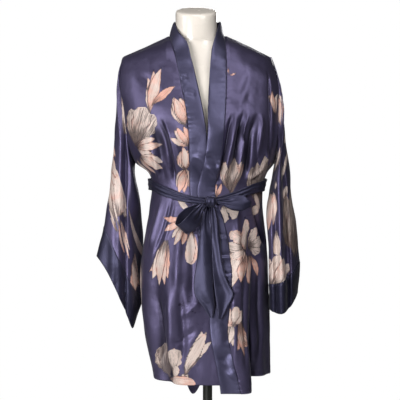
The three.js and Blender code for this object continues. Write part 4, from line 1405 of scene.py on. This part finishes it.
def make_belt():
    turn = (90 + np.linspace(0, 360, 361)) % 360
    v = np.linspace(0, 1, 15)[:, None]
    turn, v = np.broadcast_arrays(turn[None, :], v)
    middle, half, off = (BELT(name, turn) for name in ("middle", "half", "off"))
    near_knot = np.exp(-(((turn - 88) / 30) ** 2))
    pleats = np.sin(v * 2 * np.pi * 2.5 + 0.6 * np.sin(turn / 9)) * (0.5 + near_knot)
    lift = off + 2 + 1.4 * np.sin(np.pi * v) + pleats
    lean = mix(middle - half, middle + half, v)
    sheet = Sheet(layer(turn, lean, lift), away_from_middle, closed=True)
    sheet.settle()
    sheet.press(uneven(sheet, "belt"))
    cloth_piece("belt", sheet, "sash", "belt")


def make_knot():
    turn = np.linspace(0, 2 * np.pi, 97)[None, :]
    u = np.linspace(-1, 1, 61)[:, None]
    turn, u = np.broadcast_arrays(turn, u)
    centre = layer(front_turn(KNOT["x"], KNOT["z"]), np.array(float(KNOT["z"])), KNOT["off"])
    round_end = np.sqrt(np.maximum(0, 1 - np.abs(u) ** 2.6))
    pleat = 1 + 0.07 * np.cos(u * 11 + 1.2 * np.sin(turn)) - 0.1 * np.exp(-((u / 0.3) ** 2))
    lean = 4.0 * u * np.sin(turn)
    x = KNOT["half"] * u + lean * 0.4
    y = -KNOT["depth"] * round_end * pleat * np.sin(turn)
    z = KNOT["height"] * round_end * pleat * np.cos(turn) - 2.0 * u
    middle = np.array([KNOT["x"], centre[1], KNOT["z"]])
    sheet = Sheet(vector(x, y, z) + middle, lambda points: points - middle, closed=True)
    sheet.settle()
    cloth_piece("belt_knot", sheet, "sash", "knot")


def make_tail(name):
    table = TAILS[name]
    z = np.linspace(table.rows[-1, 0], table.rows[0, 0], 100)[::-1, None]
    u = np.linspace(-1, 1, 21)[None, :]
    z, u = np.broadcast_arrays(z, u)
    x = table("x", z) + u * np.maximum(table("half", z), 3)
    phase = 0.6 if name == "left" else 2.4
    ripple = 3.0 * np.cos(u * 2.7 + z / 60 + phase) * smooth(z, 440, 540) - 1.8 * u**6
    ripple = ripple + np.cos(u * 9 + z / 25) * smooth(z, 660, 730)
    points = layer(front_turn(x, z), z, table("off", z) + ripple)
    sheet = Sheet(points, lambda points: np.array([0, -1, 0]))
    sheet.settle()
    sheet.press(uneven(sheet, "tail"))
    cloth_piece("belt_tail_" + name, sheet, "sash", "bow")
    stitches("belt_tail_" + name + "_stitches", column_line(sheet, 1), column_line(sheet, -2))


def make_loop(name):
    shape = LOOPS[name]
    start, reach = np.array(shape["start"], float), np.array(shape["reach"], float)
    across = unit(np.array(shape["across"], float))
    open_way = unit(np.cross(unit(reach), across))
    if open_way[1] > 0:
        open_way = -open_way
    v = np.linspace(0, 1, 121)[:, None]
    u = np.linspace(-1, 1, 19)[None, :]
    u, v = np.broadcast_arrays(u, v)
    angle = mix(-1, 1, v) * 0.86 * np.pi  # a full turn less a gap inside the knot
    out = (1 + np.cos(angle)) / 2
    spread = np.sin(angle) * shape["open"] * np.sin(np.pi * np.minimum(1, out + 0.12) / 2.2)
    gather = mix(0.3, 1, smooth(out, 0, 0.55)) * (1 - shape["taper"] * smooth(out, 0.7, 1))
    pleat = 2.0 * np.cos(u * 7 + v * 2) * (1 - smooth(out, 0.15, 0.75)) + 1.2 * np.cos(u * 2.6 + v * 9)
    points = start + out[..., None] * reach + (spread + pleat)[..., None] * open_way
    points = points + (u * shape["half"] * gather)[..., None] * across
    middle = start + 0.55 * reach
    sheet = Sheet(points, lambda points: points - middle)
    sheet.settle()
    sheet.press(uneven(sheet, "loop"))
    cloth_piece("bow_loop_" + name, sheet, "sash", "bow")


# ---- the form and the stand ----
def make_form():
    """A merged and smoothed copy of the form's CAD node, which then stands for it."""
    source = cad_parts["dress_form"]
    piece = source.copy()
    piece.data = source.data.copy()
    piece.name = piece.data.name = "form_shell"
    piece.parent = None
    piece.matrix_world = source.matrix_world
    bpy.context.scene.collection.objects.link(piece)
    select_only(piece)
    bpy.ops.object.transform_apply(location=True, rotation=True, scale=True)
    bpy.ops.object.mode_set(mode="EDIT")
    bpy.ops.mesh.select_all(action="SELECT")
    bpy.ops.mesh.remove_doubles(threshold=0.00001)
    bpy.ops.mesh.tris_convert_to_quads()
    bpy.ops.object.mode_set(mode="OBJECT")
    apply_modifier(piece, "SUBSURF", levels=2, render_levels=2)
    piece.data.shade_smooth()
    piece.data.materials.clear()
    piece.data.materials.append(glossy_form())
    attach(piece, "root")
    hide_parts("dress_form")


def rounded_cylinder(name, radius, low, high, rounding, node):
    """A solid cylinder with softened rims, which then stands for a CAD node."""
    bpy.ops.object.select_all(action="DESELECT")
    bpy.ops.mesh.primitive_cylinder_add(
        vertices=128,
        radius=radius * MM,
        depth=(high - low) * MM,
        location=(0, 0, (low + high) / 2 * MM),
    )
    piece = bpy.context.object
    piece.name = piece.data.name = name
    bpy.ops.object.transform_apply(location=True, rotation=True, scale=True)
    apply_modifier(piece, "BEVEL", width=rounding * MM, segments=3, limit_method="ANGLE")
    bpy.ops.object.shade_smooth_by_angle(angle=math.radians(40))
    piece.data.materials.append(black_metal())
    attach(piece, "root")
    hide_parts(node)


# The stand's pieces: name, radius, underside, top, rounding and the CAD node that each stands for.
STAND = (
    ("base_plate", 150, 0, 9, 2.4, "stand_base"),
    ("base_collar", 24, 8.6, 42, 2.0, "stand_base"),
    ("pole_tube", 12.5, 41, 547.6, 0.5, "stand_pole"),
    ("socket_sleeve", 19.5, 521.6, 544, 1.5, "stand_socket"),
    ("socket_flange", 34, 542.6, 547.6, 1.2, "stand_socket"),
)


def make_stand():
    for row in STAND:
        rounded_cylinder(*row)


# ---- the stage ----
# The lights: name, place in metres, size in metres and share of the key light's strength.
LAMPS = (
    ("key", (-1.45, -2.6, 0.95), 1.5, 1),
    ("side", (1.3, -2.3, 2.5), 1.1, 0.4),
    ("top", (0.2, -1.3, 3.1), 1.2, 0.3),
    ("left", (-2.4, -1.3, 2.1), 1.2, 0.3),
    ("rear", (0.3, 2.4, 1.6), 1.2, 0.35),
)
LIT_POINT = (0, 0, 0.8)
CAMERA = {"place": (-0.02, -3.0, 0.764), "target": (-0.02, 0, 0.764), "sensor": 36, "view": 20.04}


def add_floor():
    bpy.ops.mesh.primitive_circle_add(vertices=96, radius=1.1, fill_type="NGON", location=(0, 0, -0.001))
    floor = bpy.context.object
    floor.name = "floor"
    pale = Finish("Pale_floor", Roughness=0.6)
    clouds = pale.noise(pale.place(), 3.0)
    pale.set("Base Color", pale.blend((0.82, 0.82, 0.81), (0.86, 0.86, 0.85), clouds))
    floor.data.materials.append(pale.material)
    return floor


def add_backdrop():
    """A white dome that only the camera sees."""
    bpy.ops.mesh.primitive_uv_sphere_add(segments=32, ring_count=16, radius=9, location=(0, 0, 0.6))
    dome = bpy.context.object
    dome.name = "backdrop"
    white = Finish("Backdrop_white", Roughness=1.0)
    white.shader.inputs["Base Color"].default_value = (0, 0, 0, 1)
    white.shader.inputs["Emission Color"].default_value = (1, 1, 1, 1)
    white.shader.inputs["Emission Strength"].default_value = 1.0
    dome.data.materials.append(white.material)
    dome.visible_diffuse = dome.visible_glossy = dome.visible_shadow = dome.visible_transmission = False
    return dome


def add_aimed(name, data, place, target):
    """Puts a lamp or a camera at a place and turns it to its target."""
    thing = bpy.data.objects.new(name, data)
    bpy.context.scene.collection.objects.link(thing)
    direction = np.array(target) - np.array(place)
    yaw = math.atan2(direction[0], direction[1])
    pitch = math.atan2(direction[2], math.hypot(direction[0], direction[1]))
    thing.location = place
    thing.rotation_euler = (math.pi / 2 + pitch, 0, -yaw)
    return thing


def make_stage():
    scene = bpy.context.scene
    look = scene.stage_look
    add_floor()
    add_backdrop()
    world = bpy.data.worlds.new("Studio")
    world.use_nodes = True
    world.node_tree.nodes["Background"].inputs["Color"].default_value = (1, 1, 1, 1)
    world.node_tree.nodes["Background"].inputs["Strength"].default_value = look.fill
    scene.world = world
    scene.view_settings.view_transform = "Standard"
    for name, place, size, share in LAMPS:
        lamp = bpy.data.lights.new(name, "AREA")
        lamp.shape = "DISK"
        lamp.size = size
        lamp.energy = look.key * share
        add_aimed(name, lamp, place, LIT_POINT)
    camera = bpy.data.cameras.new("camera")
    camera.sensor_width = CAMERA["sensor"]
    camera.lens = CAMERA["sensor"] / 2 / math.tan(math.radians(CAMERA["view"]) / 2)
    scene.camera = add_aimed("camera", camera, CAMERA["place"], CAMERA["target"])


# ---- settings, operators and panel ----
def cloth_colour(name, description, hex_colour):
    return FloatVectorProperty(
        name=name, description=description, subtype="COLOR", default=linear(hex_colour), min=0, max=1
    )


def cloth_thickness(name, millimetres):
    return FloatProperty(
        name=name + " thickness",
        description="How thick the cloth of this piece is",
        default=millimetres * MM,
        min=0.0001,
        precision=4,
        unit="LENGTH",
    )


def amount(name, description, default):
    return FloatProperty(name=name, description=description, default=default, min=0, max=1)


class GownSettings(bpy.types.PropertyGroup):
    """Looks and thicknesses of the gown's cloth."""

    printed: cloth_colour("Printed satin", "Ground colour of the printed satin", "514b68")
    plain: cloth_colour("Plain satin", "Colour of the neckband", "4c4a65")
    # Painted shade: the sash, bow and cuffs take a darker copy of the plain satin, standing in for the shade
    # among the bow's layers and on the cuffs.
    sash: cloth_colour("Sash satin", "Colour of the sash, the bow and the cuffs", "343349")
    roughness: amount("Roughness", "How far the satin spreads its shine", 0.44)
    metal: amount("Tinted shine", "How much of the shine takes the cloth's colour", 0.72)
    grain: amount("Grain", "How far the shine stretches across the threads", 0.3)
    panel_thickness: cloth_thickness("Panel", 0.6)
    neckband_thickness: cloth_thickness("Neckband", 1.6)
    cuff_thickness: cloth_thickness("Cuff", 1.5)
    belt_thickness: cloth_thickness("Belt", 1.4)
    knot_thickness: cloth_thickness("Knot", 1.0)
    bow_thickness: cloth_thickness("Bow", 1.2)


class StageSettings(bpy.types.PropertyGroup):
    """The studio's light."""

    key: FloatProperty(
        name="Key light", description="Strength of the front light", default=66, min=0, unit="POWER"
    )
    fill: FloatProperty(
        name="Fill light", description="Strength of the light from all round", default=0.022, min=0
    )


class GOWN_OT_back(bpy.types.Operator):
    """Makes the back of the gown."""

    bl_idname = "gown.back"
    bl_label = "Back"

    def execute(self, context):
        make_back()
        return {"FINISHED"}


class GOWN_OT_fronts(bpy.types.Operator):
    """Makes the two fronts, the wearer's left over the right."""

    bl_idname = "gown.fronts"
    bl_label = "Fronts"

    def execute(self, context):
        make_fronts()
        return {"FINISHED"}


class GOWN_OT_neckband(bpy.types.Operator):
    """Makes both halves of the neckband."""

    bl_idname = "gown.neckband"
    bl_label = "Neckband"

    def execute(self, context):
        for name in SLEEVES:
            make_neckband(name)
        return {"FINISHED"}


class GOWN_OT_sleeves(bpy.types.Operator):
    """Makes the two sleeves."""

    bl_idname = "gown.sleeves"
    bl_label = "Sleeves"

    def execute(self, context):
        for name in SLEEVES:
            make_sleeve(name)
        return {"FINISHED"}


class GOWN_OT_cuffs(bpy.types.Operator):
    """Makes the plain cuff bands."""

    bl_idname = "gown.cuffs"
    bl_label = "Cuffs"

    def execute(self, context):
        for name in SLEEVES:
            make_cuff(name)
        return {"FINISHED"}


class GOWN_OT_sash(bpy.types.Operator):
    """Makes the sash round the waist."""

    bl_idname = "gown.sash"
    bl_label = "Sash"

    def execute(self, context):
        make_belt()
        return {"FINISHED"}


class GOWN_OT_knot(bpy.types.Operator):
    """Makes the knot of the bow."""

    bl_idname = "gown.knot"
    bl_label = "Knot"

    def execute(self, context):
        make_knot()
        return {"FINISHED"}


class GOWN_OT_tails(bpy.types.Operator):
    """Makes the two hanging ends of the sash."""

    bl_idname = "gown.tails"
    bl_label = "Tails"

    def execute(self, context):
        for name in TAILS:
            make_tail(name)
        return {"FINISHED"}


class GOWN_OT_loops(bpy.types.Operator):
    """Makes the two loops of the bow."""

    bl_idname = "gown.loops"
    bl_label = "Loops"

    def execute(self, context):
        for name in LOOPS:
            make_loop(name)
        return {"FINISHED"}


class GOWN_OT_form(bpy.types.Operator):
    """Makes the glossy display form."""

    bl_idname = "gown.form"
    bl_label = "Form"

    def execute(self, context):
        make_form()
        return {"FINISHED"}


class GOWN_OT_stand(bpy.types.Operator):
    """Makes the pole stand."""

    bl_idname = "gown.stand"
    bl_label = "Stand"

    def execute(self, context):
        make_stand()
        return {"FINISHED"}


class GOWN_OT_stage(bpy.types.Operator):
    """Makes the floor, the light and the camera."""

    bl_idname = "gown.stage"
    bl_label = "Stage"

    def execute(self, context):
        make_stage()
        return {"FINISHED"}


STEPS = (
    GOWN_OT_back,
    GOWN_OT_fronts,
    GOWN_OT_neckband,
    GOWN_OT_sleeves,
    GOWN_OT_cuffs,
    GOWN_OT_sash,
    GOWN_OT_knot,
    GOWN_OT_tails,
    GOWN_OT_loops,
    GOWN_OT_form,
    GOWN_OT_stand,
    GOWN_OT_stage,
)


class GOWN_PT_panel(bpy.types.Panel):
    """Lists the settings and the steps that build the gown."""

    bl_label = "Dressing gown"
    bl_idname = "GOWN_PT_panel"
    bl_space_type = "VIEW_3D"
    bl_region_type = "UI"
    bl_category = "Gown"

    def draw(self, context):
        for settings in (context.scene.gown, context.scene.stage_look):
            for name in type(settings).__annotations__:
                self.layout.prop(settings, name)
        for operator in STEPS:
            self.layout.operator(operator.bl_idname)


CLASSES = (GownSettings, StageSettings, *STEPS, GOWN_PT_panel)


def register():
    for item in CLASSES:
        bpy.utils.register_class(item)
    bpy.types.Scene.gown = PointerProperty(type=GownSettings)
    bpy.types.Scene.stage_look = PointerProperty(type=StageSettings)


def unregister():
    del bpy.types.Scene.stage_look
    del bpy.types.Scene.gown
    for item in reversed(CLASSES):
        bpy.utils.unregister_class(item)


def main():
    register()
    for operator in STEPS:
        getattr(bpy.ops.gown, operator.bl_idname.split(".")[1])()


if __name__ == "__main__":
    main()
